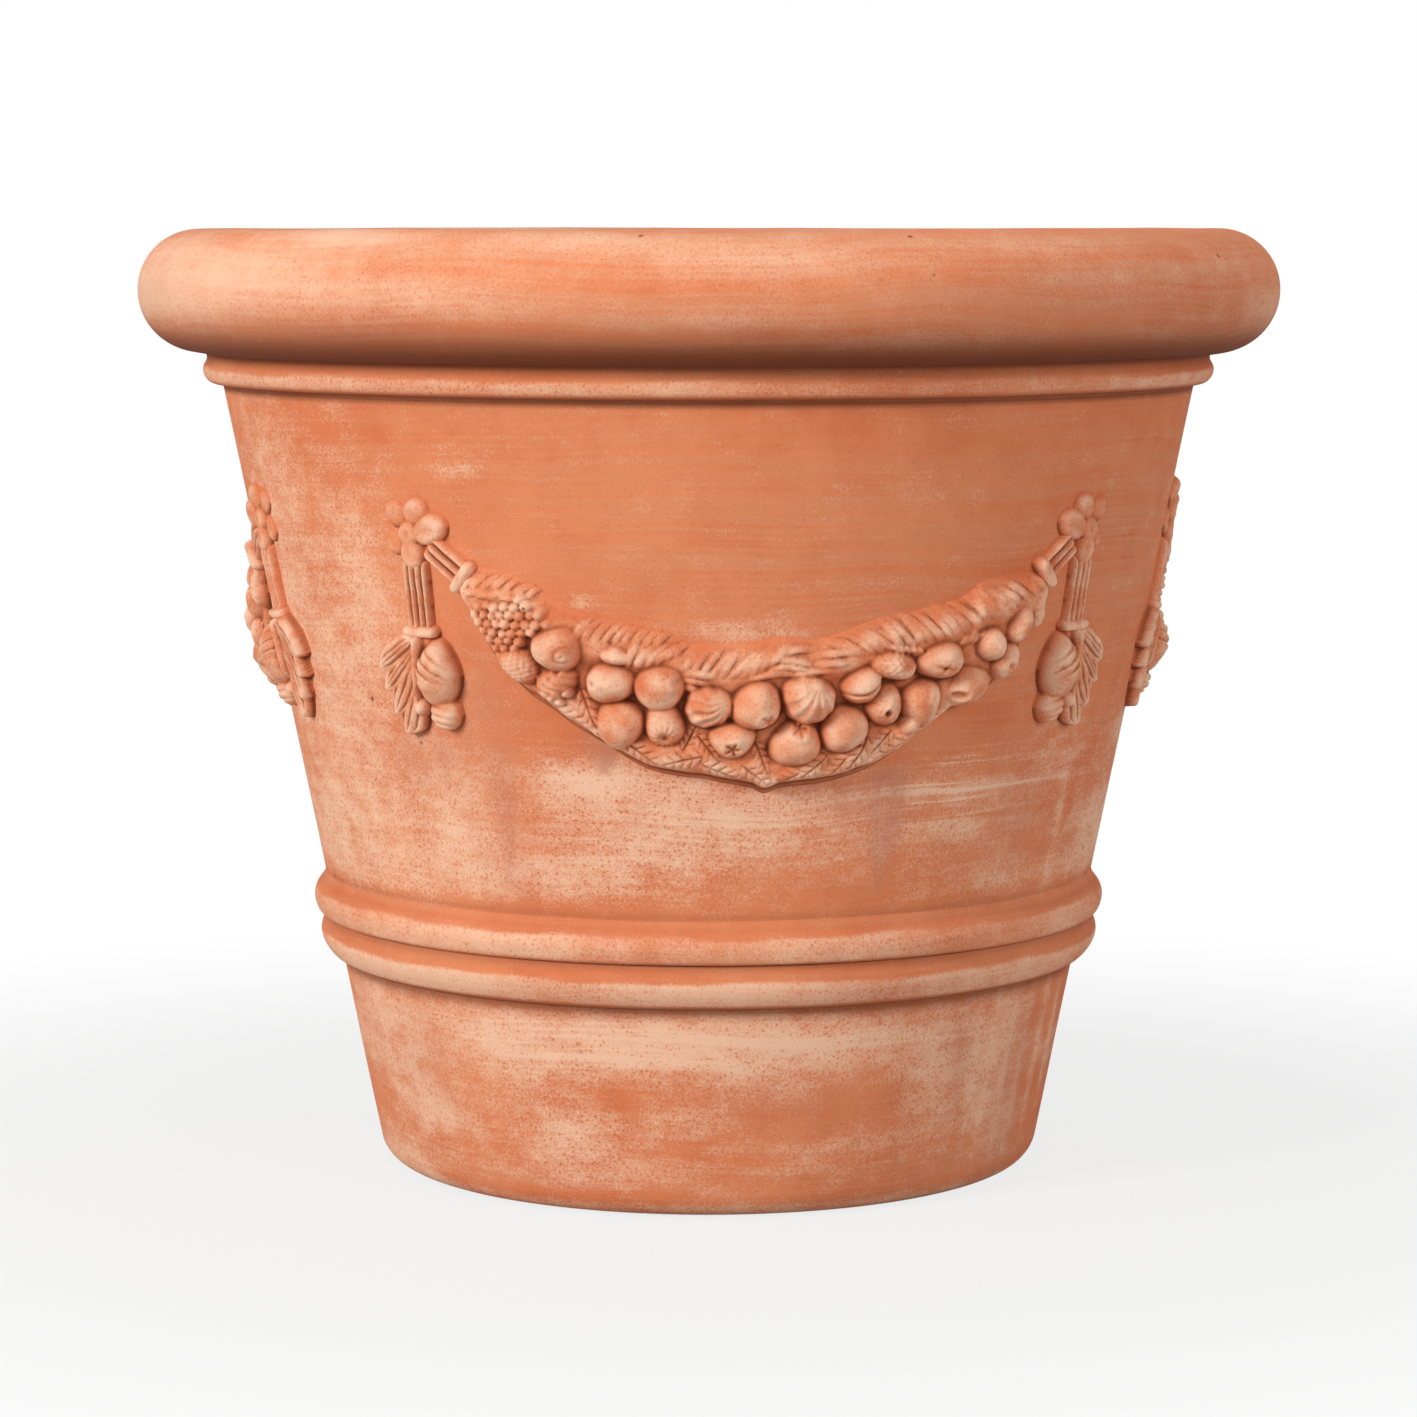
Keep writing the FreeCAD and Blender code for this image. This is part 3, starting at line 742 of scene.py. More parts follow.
# pressed sprigs: each mould is a sheet of heights in millimetres above the wall
sprigPress = {
    "rootDepth": 3.0, "backDepth": 5.0, "keepAbove": -2.4, "block": 4,
    "blur": 0.4, "steepFrom": 1.3, "steepBlur": 0.85, "steepSpread": 1.5, "fineReach": 0.9, "broadReach": 3.2,
    # bloom and painted highlight on what stands out, rubbed off in patches
    "bloomBase": 0.46, "highlightRise": 0.20, "highlightFull": 6.0, "highlightLow": 0.3,
    "rubSeed": 51, "rubReach": 2.6, "rubDepth": 0.28, "rubMiddle": 0.9, "rubLimits": (0.25, 1.2),
    # painted shadow along the lower edges, and painted shade in hollows and in cuts
    "footShadow": 0.85, "footReach": 1.8, "footSlope": 0.4,
    "hollowShadeFine": 1.05, "hollowShadeBroad": 0.16, "hollowShadeStart": 0.12, "hollowShadeFull": 2.5, "cutShade": 0.68,
}
# how softly a form runs into what it is pressed on, in millimetres
joins = {"soft": 0.6, "mound": 0.4, "close": 0.3, "crisp": 0.2, "sharp": 0.15}
mouldSheets = ("x", "y", "h", "ground", "cut")
nothing = -99.0


def openMould(left, right, low, high, step):
    block = sprigPress["block"]
    across = block * math.ceil((right - left) / step / block)
    up = block * math.ceil((high - low) / step / block)
    x, y = np.meshgrid(left + step * np.arange(across + 1), low + step * np.arange(up + 1))
    return {"x": x, "y": y, "h": np.full(x.shape, -sprigPress["rootDepth"]), "ground": np.zeros(x.shape),
            "cut": np.zeros(x.shape), "step": step}


def near(mould, x, y, reach):
    # the part of a mould about one point, so that a small form is not worked out all over
    step, left, low = mould["step"], mould["x"][0, 0], mould["y"][0, 0]
    rows = slice(max(0, int((y - reach - low) / step)), max(1, int((y + reach - low) / step) + 2))
    columns = slice(max(0, int((x - reach - left) / step)), max(1, int((x + reach - left) / step) + 2))
    return {**{key: mould[key][rows, columns] for key in mouldSheets}, "step": step}


def press(mould, form, soft=joins["soft"]):
    # the higher of the two, with a soft join
    close = np.maximum(soft - np.abs(mould["h"] - form), 0)
    mould["h"][:] = np.maximum(mould["h"], form) + close ** 2 / (4 * soft)


def blurred(sheet, reach):
    half = max(1, math.ceil(3 * reach))
    weights = np.exp(-0.5 * (np.arange(-half, half + 1) / reach) ** 2)
    weights /= weights.sum()
    for axis in (0, 1):
        padded = np.pad(sheet, [(half, half) if a == axis else (0, 0) for a in (0, 1)], mode="edge")
        sheet = sum(w * np.take(padded, np.arange(i, i + sheet.shape[axis]), axis=axis)
                    for i, w in enumerate(weights))
    return sheet


def handWorn(mould, seed, reach, amount):
    # small dents of hand work, where there is clay
    dents = blurred(np.random.default_rng(seed).normal(size=mould["h"].shape), reach / mould["step"])
    mould["h"] += amount * dents / dents.std() * np.clip(mould["h"] / 2, 0, 1)


def about(mould, x, y, turn):
    lean = math.radians(turn)
    right, up = mould["x"] - x, mould["y"] - y
    return right * math.cos(lean) + up * math.sin(lean), up * math.cos(lean) - right * math.sin(lean)


def alongLine(mould, start, end):
    # places along a line and across it, and its length
    turn = math.degrees(math.atan2(end[1] - start[1], end[0] - start[0]))
    return (*about(mould, start[0], start[1], turn), math.dist(start, end))


def ball(mould, x, y, halfLength, halfWidth, turn, seat, top, lobes=0.0):
    along, across = about(mould, x, y, turn)
    far = (along / halfLength) ** 2 + (across / halfWidth) ** 2
    if lobes:
        way = np.arctan2(across, along)
        far = far * (1 + lobes * (np.cos(2 * way + x) + 0.8 * np.cos(3 * way + y)))
    return along, across, np.where(far < 1, seat + (top - seat) * np.sqrt(np.clip(1 - far, 0, 1)), nothing)


def spot(far, reach, power=2):
    # full in the middle, with a steeper edge the higher the power
    return np.exp(-(far / reach) ** power)


# marks on the fruit, by kind: how many there are, how deep or high in millimetres, and how far they reach
def markFruit(mould, kind, form, along, across, size, markX, markY):
    right, up = about(mould, markX, markY, 0)
    far, turn = np.hypot(right, up), np.arctan2(up, right)
    if kind == "star":
        rays = 1.0 + 2.9 * (0.5 + 0.5 * np.cos(5 * turn + 0.4)) ** 1.3
        return form - 3.0 * spot(far, rays, 4) + band(far, 4.6, 1.2, 0.9)
    if kind == "button":
        return form + 1.9 * spot(far, 2.6, 6) - 2.2 * spot(far, 1.2) - band(far, 3.6, 0.8, 1.2)
    if kind == "navel":
        return form - 1.9 * spot(far, 1.6) + band(far, 2.9, 1.0, 0.5)
    if kind == "shell":
        return form + 0.95 * np.cos(19 * turn + 0.8 * np.sin(far * 0.5)) * np.clip(far / 9, 0, 1)
    if kind == "ribbed":
        return form + 0.75 * np.cos(17 * turn) * np.clip((far - 3) / 8, 0, 1) + 1.6 * spot(far, 3.4, 4)
    if kind == "poppy":
        return form + 0.8 * np.cos(13 * turn) * band(far, 4.5, 2.4) - 3.6 * spot(far, 2.6)
    if kind == "split":
        return form - 3.4 * spot(across + 2.6 - 0.03 * along ** 2, 0.75)
    if kind == "diamond":
        hole = np.abs(right) / 1.7 + np.abs(up) / 2.3
        return form - 3.2 * spot(hole, 1, 4) + band(hole, 1.7, 0.5)
    if kind == "seeded":
        seeds = 0.75 * np.sin(1.9 * along + np.sin(across))
        return form + seeds * np.sin(1.8 * across + 0.6 * np.sin(1.3 * along))
    if kind == "crumpled":
        folds = 1.3 * np.sin(0.95 * along + 1.6 * np.sin(0.55 * across))
        return form + folds * np.cos(0.75 * across + 0.4 * along)
    if kind == "creased":
        form = form - 2.2 * spot(up + 0.25 * right, 0.9) * spot(right, 4.2)
        return form - 1.4 * spot(right - 0.5 * up, 0.8) * spot(up, 3.0)
    if kind == "eyed":
        eye = np.hypot(right / 3.6, up / 1.8)
        return form - 2.4 * spot(eye, 1, 4) + band(eye, 1.6, 0.45, 0.9)
    if kind == "streaked":
        return form + 0.4 * np.cos(1.6 * across) * np.clip(along / size, 0, 1)
    return form


leafShape = {
    "fullness": 1.35, "skew": 0.8, "roundness": 0.7, "tipHalf": 0.01, "riseBy": 0.35, "fall": 2.5,
    "cutOver": 0.5, "ribHalf": 0.55, "veinLean": 0.34, "veinSharp": 8, "veinDark": 0.9,
    "streakSharp": 3, "streakTo": 0.95, "marginSharp": 4, "marginFrom": 0.3,
}


def leafForm(mould, start, end, width, lift, tilt=0.0, bow=0.0, veins=0, groove=0.0, margin=0.0, streaks=0):
    # a leaf that rises from the ground: rounded over, tilted to one side, with a cut midrib and cut veins
    leaf = leafShape
    along, across, run = alongLine(mould, start, end)
    share = np.clip(along / run, 0, 1)
    across = across - bow * 4 * share * (1 - share)
    half = np.clip(leaf["fullness"] * np.sin(math.pi * share ** leaf["skew"]), 0, 1) ** leaf["roundness"]
    half = width / 2 * half + leaf["tipHalf"]
    edge = np.clip(across / half, -1, 1)
    inside = (along > 0) & (along < run) & (np.abs(across) < half)
    rise = np.clip(share / leaf["riseBy"], 0, 1) * (1 - share ** leaf["fall"]) if tilt else 1.0
    form = mould["ground"] + (lift * np.sqrt(1 - edge ** 2) + tilt * edge) * rise
    cut = spot(across, leaf["ribHalf"]) if groove else np.zeros(form.shape)
    if veins:
        fan = veins * share - leaf["veinLean"] * veins * np.abs(across) / width
        fan = 0.5 + 0.5 * np.cos(2 * math.pi * fan)
        cut = np.maximum(cut, leaf["veinDark"] * fan ** leaf["veinSharp"] * np.clip(np.abs(across), 0, 1))
    if streaks:   # folds that run along the leaf and meet at both ends
        fold = (0.5 + 0.5 * np.cos(math.pi * streaks * (edge + 1))) ** leaf["streakSharp"]
        cut = np.maximum(cut, fold * (np.abs(edge) < leaf["streakTo"]))
    form = form - groove * cut
    # a painted shade line along the leaf's edges, kept in the cut sheet only
    if margin:
        sharp = leaf["marginSharp"]
        outer = margin * np.abs(edge) ** sharp * np.clip(share / leaf["marginFrom"], 0, 1)
        cut = np.maximum(cut, outer * (1 - share ** sharp))
    return np.where(inside, form, nothing), np.where(inside, cut, 0)


def cordForm(mould, start, end, radius, seat):
    along, across, run = alongLine(mould, start, end)
    beyond = along - np.clip(along, 0, run)
    far = (across ** 2 + beyond ** 2) / radius ** 2
    return np.where(far < 1, seat + radius * np.sqrt(np.clip(1 - far, 0, 1)), nothing)


def pressLeaf(mould, start, end, width, lift, **shape):
    middle = np.add(start, end) / 2
    part = near(mould, middle[0], middle[1], math.dist(start, end) / 2 + width)
    form, cut = leafForm(part, start, end, width, lift, **shape)
    part["cut"][:] = np.where(form > part["h"] - leafShape["cutOver"], cut, part["cut"])
    press(part, form, joins["sharp"])


def leafletRow(mould, row, draw):
    # leaflets side by side along a line, each leaning its own way
    points, count, leanEnds, lengthEnds, width, lift, tilt = row
    line = np.array(throughPoints(points, garland["rowSteps"]))
    length = np.concatenate([[0], np.cumsum(np.hypot(*np.diff(line, axis=0).T))])

    def along(ends):
        return np.interp(np.linspace(0, 1, count), np.linspace(0, 1, len(ends)), ends)

    leans = along(leanEnds) + draw.normal(size=count) * garland["rowSway"]
    reaches = along(lengthEnds) * draw.uniform(*garland["rowLengths"], count)
    widths = width * draw.uniform(*garland["rowWidths"], count)
    places = np.linspace(0, length[-1], count)
    for place, lean, reach, leafWidth in zip(places, leans, reaches, widths):
        start = np.array([np.interp(place, length, line[:, k]) for k in (0, 1)])
        way = np.array([math.cos(math.radians(lean)), math.sin(math.radians(lean))])
        pressLeaf(mould, start - way, start + way * reach, leafWidth, lift * garland["rowLift"], tilt=tilt,
                  bow=garland["rowBow"][tilt < 0], margin=garland["rowEdgeShade"])


def mirrored(mould):
    flipped = {key: mould[key][:, ::-1] for key in mouldSheets}
    return {**flipped, "x": -flipped["x"], "step": mould["step"]}


def sprigPaint(h, cut, step):
    # sheets of bloom with painted highlight, and of painted shade, from the heights
    look = sprigPress
    fine = h - blurred(np.maximum(h, 0), look["fineReach"] / step)
    broad = h - blurred(np.maximum(h, 0), look["broadReach"] / step)
    # paler the higher and rounder the clay stands, darker in hollows: painted highlight over the bloom
    high = np.clip(h / look["highlightFull"], 0, 1)
    bloom = (look["bloomBase"] + look["highlightRise"] * broad) * (look["highlightLow"] + (1 - look["highlightLow"]) * high)
    rubbed = blurred(np.random.default_rng(look["rubSeed"]).normal(size=h.shape), look["rubReach"] / step)
    bloom *= np.clip(look["rubMiddle"] + look["rubDepth"] * rubbed / rubbed.std(), *look["rubLimits"])
    # painted shadow under the lower edges, where the clay climbs steeply upward
    foot = np.clip(np.gradient(h, step, axis=0) / look["footSlope"], 0, 1) * spot(h, look["footReach"])
    # painted shade in hollows and in the cut lines
    hollow = look["hollowShadeFine"] * fine + look["hollowShadeBroad"] * broad
    hollow = hollow * np.clip(h / look["hollowShadeFull"], 0, 1)
    return bloom, look["footShadow"] * foot - hollow - look["hollowShadeStart"] + look["cutShade"] * cut


def sprigBlocks(h):
    # the blocks of a mould that hold clay, with a margin of one empty block all round
    block = sprigPress["block"]
    rows, columns = (n // block for n in (h.shape[0] - 1, h.shape[1] - 1))
    keep = np.zeros((rows + 2, columns + 2), dtype=bool)
    for j in range(rows):
        for i in range(columns):
            part = h[j * block:(j + 1) * block + 1, i * block:(i + 1) * block + 1]
            keep[j + 1, i + 1] = part.max() > sprigPress["keepAbove"]
    changed = True
    while changed:   # blocks that touch at a corner only get a third one
        cross = keep[:-1, :-1] & keep[1:, 1:] & ~keep[1:, :-1] & ~keep[:-1, 1:]
        other = keep[1:, :-1] & keep[:-1, 1:] & ~keep[:-1, :-1] & ~keep[1:, 1:]
        changed = bool(cross.any() or other.any())
        keep[1:, :-1] |= cross
        keep[:-1, :-1] |= other
    return keep


def sprigMesh(name, mould):
    # the front keeps every height; the back, inside the wall, is one plain sheet of larger faces
    block, step = sprigPress["block"], mould["step"]
    h = blurred(mould["h"], sprigPress["blur"] / step)
    softer = blurred(mould["h"], sprigPress["steepBlur"] / step)
    steep = np.clip(np.hypot(*np.gradient(h, step)) / sprigPress["steepFrom"] - 1, 0, 1)
    steep = np.clip(sprigPress["steepSpread"] * blurred(steep, sprigPress["steepBlur"] / step), 0, 1)
    h = h + steep * (softer - h)
    bloomAndHighlightSheet, shadeSheet = sprigPaint(h, mould["cut"], step)
    keep = sprigBlocks(h)
    held, points, faces, bloom, shadeAndDirt = {}, [], [], [], []

    def point(j, i, front=True):
        if (j, i, front) not in held:
            held[j, i, front] = len(points)
            height = h[j, i] if front else -sprigPress["backDepth"]
            points.append((mould["x"][j, i] * mm, mould["y"][j, i] * mm, height * mm))
            bloom.append(bloomAndHighlightSheet[j, i] if front else 0.0)
            shadeAndDirt.append(shadeSheet[j, i] if front else 0.0)
        return held[j, i, front]

    for row, column in np.argwhere(keep):
        low, left = (row - 1) * block, (column - 1) * block
        high, right = low + block, left + block
        for v in range(low, high):
            for u in range(left, right):
                faces.append([point(v, u), point(v, u + 1), point(v + 1, u + 1), point(v + 1, u)])
        faces.append([point(v, u, False) for v, u in ((low, left), (high, left), (high, right), (low, right))])
        sides = (
            (keep[row - 1, column], [(low, u) for u in range(right, left - 1, -1)]),
            (keep[row + 1, column], [(high, u) for u in range(left, right + 1)]),
            (keep[row, column - 1], [(v, left) for v in range(low, high + 1)]),
            (keep[row, column + 1], [(v, right) for v in range(high, low - 1, -1)]),
        )
        for joined, edge in sides:
            if not joined:
                faces.append([point(*end) for end in edge] + [point(*edge[-1], False), point(*edge[0], False)])
    mesh = bpy.data.meshes.new(name)
    mesh.from_pydata(points, [], faces)
    # the sprig's bloom layer holds bloom and painted highlight, its dark layer painted shade
    storePaint(mesh, {"bloom": np.array(bloom), "shadeAndDirt": np.array(shadeAndDirt)})
    return mesh


def layOnWall(name, nodeName, flat, angle, level):
    piece = bpy.data.objects.new(name, flat.copy())
    bpy.context.collection.objects.link(piece)
    runTree(piece, layTree, {
        "Angle": math.radians(angle), "Level": level * mm, "Foot Radius": wall["footRadius"] * mm,
        "Taper": wall["taper"], "Clay": clays["sprig_clay"]})
    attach(piece, "root")
    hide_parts(nodeName)


# the garland of fruit and leaves, in millimetres right and up of its middle
garland = {
    "level": 262.0, "step": 0.5, "sheet": (-152, 152, -44, 76), "seed": 9, "outlineSteps": 6, "rowSteps": 12,
    # the bed: a lip below, a slope above, and its height under the fringe, the fruit and the leaflets
    "lip": 6.5, "slope": 15.0, "skirt": 4.4, "skirtRise": 0.9, "offBed": -7.0, "bedLeast": 0.05,
    "lowBand": 9.6, "lowReach": 20, "lowFade": 8, "bandEnd": 112.0, "bandFade": 18,
    "fruitBand": 5.4, "leafBand": 7.6, "leafReach": 24, "leafFade": 6,
    "top": [(-148, 65), (-144, 69), (-134, 70.5), (-111, 64), (-97, 54), (-83, 48.5), (-64, 44),
            (-44, 39.5), (-36, 35.5), (-13, 35), (4, 38), (15, 37.5), (24, 36.5), (36, 40), (51, 45.5),
            (72, 49.5), (89, 52.5), (100, 56), (108, 62.5), (130, 65.5), (144, 65), (149, 60)],
    "bottom": [(-148, 64), (-145, 56), (-140, 45), (-136, 34), (-128, 23), (-116, 11), (-105, 4), (-94, -4),
               (-82, -11), (-71, -18), (-61, -24), (-52, -27), (-41, -29), (-31, -30.2), (-21, -31.8),
               (-11, -33.6), (-5, -34.8), (-2.5, -36.4), (1, -37.6), (4.5, -36.4), (8, -34.8), (16, -33.9),
               (26, -33.2), (36, -31.6), (46, -29), (56, -25.6), (66, -20), (76, -13), (86, -5), (95, 0),
               (106, 3.6), (116, 8.6), (126, 16.5), (133, 25), (138, 36), (144, 48), (149, 59)],
    # kind, x, y, half length, half width, turn, top, and where its mark is
    "fruits": [
        ("seeded", -117, 23.5, 11.0, 8.6, -35, 13.0, 0, 0),
        ("crumpled", -99, 15.0, 11.0, 9.0, 25, 15.0, 0, 0),
        ("plain", -97, 6.6, 3.4, 3.2, 0, 13.0, 0, 0),
        ("plain", -93.2, 11.4, 3.2, 3.0, 0, 14.0, 0, 0),
        ("plain", -69.0, -4.0, 12.6, 12.2, 0, 17.4, 0, 0),
        ("poppy", -48.0, -4.0, 11.0, 9.8, 85, 16.4, -47.4, -9.4),
        ("star", -16.0, -11.0, 10.6, 10.4, 0, 16.6, -16.0, -14.4),
        ("star", 14.4, -14.0, 12.6, 12.0, 0, 17.2, 15.4, -5.4),
        ("plain", 37.6, -7.4, 13.2, 11.0, 38, 17.2, 0, 0),
        ("diamond", 57.4, 4.0, 10.8, 9.0, 80, 15.6, 56.8, 1.6),
        ("seeded", 60.5, 23.6, 11.8, 7.6, -6, 14.8, 0, 0),
        ("streaked", 75.6, 4.2, 13.2, 10.2, 66, 16.8, 0, 0),
        ("plain", 70.6, -5.0, 7.4, 6.2, 50, 14.6, 0, 0),
        ("eyed", 101, 11.0, 14.6, 8.8, 20, 15.0, 94.4, 8.4),
        ("navel", 123.0, 22.0, 9.4, 7.6, 70, 13.2, 123.0, 21.2),
        ("plain", 129.2, 40.0, 9.6, 6.8, 74, 12.8, 0, 0),
        ("seeded", 140.0, 46.0, 9.4, 5.0, 82, 9.6, 0, 0),
        ("plain", 112.6, 31.4, 8.4, 8.0, 0, 14.4, 0, 0),
        ("plain", -70.0, 29.2, 8.8, 4.6, -4, 12.6, 0, 0),
        ("navel", -73.0, 16.0, 11.6, 10.8, 0, 17.0, -80.6, 17.0),
        ("navel", -50.0, 14.0, 12.8, 11.0, 8, 18.0, -41.2, 18.4),
        ("button", -97.6, 32.0, 11.9, 11.5, 0, 18.0, -92.2, 31.2),
        ("shell", -27.0, 4.8, 11.4, 10.8, 30, 17.0, -16.6, 8.0),
        ("star", -5.0, 5.2, 12.4, 12.0, 0, 18.6, 0.0, -0.6),
        ("ribbed", 19.6, 8.0, 13.8, 12.2, 105, 18.0, 23.6, 18.2),
        ("split", 45.4, 14.2, 10.6, 8.6, 20, 16.6, 0, 0),
        ("creased", 85.0, 25.0, 12.2, 9.8, 6, 17.0, 84.0, 22.8),
    ],
    "fruitSeat": 3.6, "lobes": 0.11,
    "bunch": {
        "corners": [(-140, 55), (-112, 57), (-99, 46), (-107, 37), (-129, 25), (-139, 44)], "edge": 0.8,
        "berry": 2.6, "sizes": (0.85, 1.12), "pitch": 4.7, "rowPitch": 0.87, "rows": 8, "sway": 0.7,
        "seat": 7.6, "swell": 2.4, "swellReach": 160, "seatSway": 0.6, "sink": 2.4, "rise": 1.9,
        "mound": 4.6, "moundFoot": -2.0, "moundTop": -0.2,
    },
    # rows of leaflets: where they start, how many, their leans in degrees, their lengths, width, lift, tilt
    "rows": [
        ([(-143, 61), (-128, 60.5), (-112, 56)], 7, (42, 28), (10, 13), 4.4, 2.4, 0.5),
        ([(-141, 57.5), (-128, 57), (-118, 56)], 5, (6, -14), (11, 12), 3.6, 2.8, 0.4),
        ([(-89, 37), (-70, 35.5), (-52, 34)], 9, (50, 42), (14, 12.5), 4.5, 2.4, 0.6),
        ([(-65, 23), (-54, 25), (-43, 30)], 6, (54, 34), (17, 10), 4.4, 2.9, 0.5),
        ([(-39, 22), (-26, 19.5), (-12, 19), (0, 24)], 10, (50, 42), (11, 19, 21, 16), 4.6, 2.6, 0.6),
        ([(-39, 21.5), (-38, 15)], 3, (-18, -26), (15, 12), 4.2, 3.2, 0.3),
        ([(-8, 18), (2, 23), (8, 31)], 6, (12, -6), (20, 19), 4.0, 3.2, 0.5),
        ([(10, 19.5), (20, 23), (26, 29)], 4, (8, -4), (20, 18), 4.2, 3.4, 0.5),
        ([(40, 29), (56, 30), (70, 32)], 7, (160, 132), (16, 18), 4.4, 2.3, -0.6),
        ([(64, 31), (82, 35), (98, 38)], 8, (130, 136), (19, 21), 4.6, 2.4, -0.6),
        ([(94, 38), (108, 42), (124, 48)], 7, (134, 145), (21, 20), 4.8, 2.4, -0.6),
        ([(114, 48), (130, 52), (144, 57)], 6, (146, 150), (18, 12), 5.2, 2.6, -0.7),
        ([(95, 31), (108, 34)], 5, (48, 42), (9, 8), 4.0, 3.4, 0.5),
        ([(57, 33.5), (71, 31.5)], 5, (-40, -46), (8, 7), 3.8, 3.4, 0.4),
    ],
    "rowSway": 5.0, "rowLengths": (0.84, 1.1), "rowWidths": (0.78, 1.18), "rowBow": (0.8, -1.0),
    "rowEdgeShade": 1.0, "rowLift": 0.8,
    # small veined leaves along the lower edge: root, tip, width
    "fringe": [
        ((-128, 23), (-112, 8), 7.5), ((-104, 6), (-84, -7), 10.0), ((-88, 13), (-79, -8), 8.0),
        ((-82, -6), (-66, -20), 8.5), ((-65, -13), (-49, -26), 10.0), ((-30, -19), (-51, -24), 10.0),
        ((-41, -20), (-33, -5), 7.5), ((-33, -9), (-22, -22), 7.0), ((-31, -23), (-11, -32), 10.0),
        ((-12, -23), (4, -36), 9.0), ((-5, -13), (1, -28), 7.5), ((18, -27), (2, -36), 9.0),
        ((30, -19), (15, -33), 8.5), ((41, -19), (29, -33), 9.0), ((50, -11), (39, -30), 9.0),
        ((74, -11), (50, -25), 10.5), ((62, -8), (51, -19), 7.0), ((92, 1), (72, -13), 8.5),
        ((117, 9), (96, 0), 7.0), ((133, 30), (121, 12), 7.0), ((28, 0), (31, -14), 6.0),
    ],
    "fringeLift": 1.3, "fringeGroove": 1.5, "fringeVeins": 5,
    "worn": [(31, 3.2, 0.44), (32, 0.9, 0.11)],   # seed, reach and depth of the dents
}


def garlandBed(mould):
    x, y = mould["x"], mould["y"]
    bottom, top = (zip(*throughPoints(garland[edge], garland["outlineSteps"])) for edge in ("bottom", "top"))
    above = y - np.interp(x, *bottom, left=-nothing, right=-nothing)
    below = np.interp(x, *top, left=nothing, right=nothing) - y
    lip = np.sqrt(1 - (1 - np.clip(above / garland["lip"], 0, 1)) ** 2)
    slope = np.clip(below / garland["slope"], 0, 1)
    slope = slope ** 1.5 * (2.5 - 1.5 * slope)   # eases in at the edge, and out at full height
    low = np.clip((garland["lowReach"] - above) / garland["lowFade"], 0, 1)
    low = low * np.clip((garland["bandEnd"] - np.abs(x)) / garland["bandFade"], 0, 1)
    high = np.clip((garland["leafReach"] - below) / garland["leafFade"], 0, 1)
    bed = garland["fruitBand"] + (garland["lowBand"] - garland["fruitBand"]) * low
    bed = np.maximum(bed, garland["fruitBand"] + (garland["leafBand"] - garland["fruitBand"]) * high)
    mould["ground"][:] = np.where((above > 0) & (below > 0), bed * lip * slope, garland["offBed"])
    press(mould, np.where(mould["ground"] > garland["bedLeast"], mould["ground"], nothing))
    # the skirt carries the painted shadow below the garland's lower edge
    skirt = (above <= 0) & (above > -garland["skirt"]) & (below > 0)   # slip smeared along the lower edge
    press(mould, np.where(skirt, garland["skirtRise"] + above / garland["skirt"], nothing), joins["crisp"])


def berryBunch(mould, bunch, draw):
    corners = np.array(bunch["corners"])
    centre = corners.mean(axis=0)
    span = range(-bunch["rows"], bunch["rows"] + 1)
    for row, column in ((row, column) for row in span for column in span):
        place = centre + bunch["pitch"] * np.array([column + 0.5 * (row % 2), bunch["rowPitch"] * row])
        place = place + draw.uniform(-bunch["sway"], bunch["sway"], 2)
        x, y = place
        size = bunch["berry"] * draw.uniform(*bunch["sizes"])
        inside = all((b[0] - a[0]) * (y - a[1]) - (b[1] - a[1]) * (x - a[0]) < -bunch["edge"] * math.dist(a, b)
                     for a, b in zip(corners, np.roll(corners, -1, axis=0)))
        if not inside:
            continue
        swell = bunch["swell"] * math.exp(-((place - centre) ** 2).sum() / bunch["swellReach"])
        seat = bunch["seat"] + swell + draw.uniform(-bunch["seatSway"], bunch["seatSway"])
        mound = bunch["mound"]
        part = near(mould, x, y, mound + 1)
        hill = ball(part, x, y, mound, mound, 0, bunch["moundFoot"], seat + bunch["moundTop"])[2]
        press(part, hill, joins["mound"])
        berry = ball(part, x, y, size, size, 0, seat - bunch["sink"], seat + bunch["rise"])[2]
        press(part, berry, joins["close"])


def garlandMould():
    mould = openMould(*garland["sheet"], garland["step"])
    draw = np.random.default_rng(garland["seed"])
    garlandBed(mould)
    for start, end, width in garland["fringe"]:
        pressLeaf(mould, start, end, width, garland["fringeLift"], veins=garland["fringeVeins"],
                  groove=garland["fringeGroove"])
    for row in garland["rows"]:
        leafletRow(mould, row, draw)
    berryBunch(mould, garland["bunch"], draw)
    for kind, x, y, halfLength, halfWidth, turn, crown, markX, markY in garland["fruits"]:
        part = near(mould, x, y, halfLength + 1)
        along, across, form = ball(
            part, x, y, halfLength, halfWidth, turn, garland["fruitSeat"], crown, garland["lobes"])
        part["cut"][form > part["h"]] = 0
        press(part, markFruit(part, kind, form, along, across, halfWidth, markX, markY), joins["close"])
    for wear in garland["worn"]:
        handWorn(mould, *wear)
    return mould


flatGarland = sprigMesh("garlandFlat", garlandMould())
print("garland pressed:", len(flatGarland.polygons), "faces")

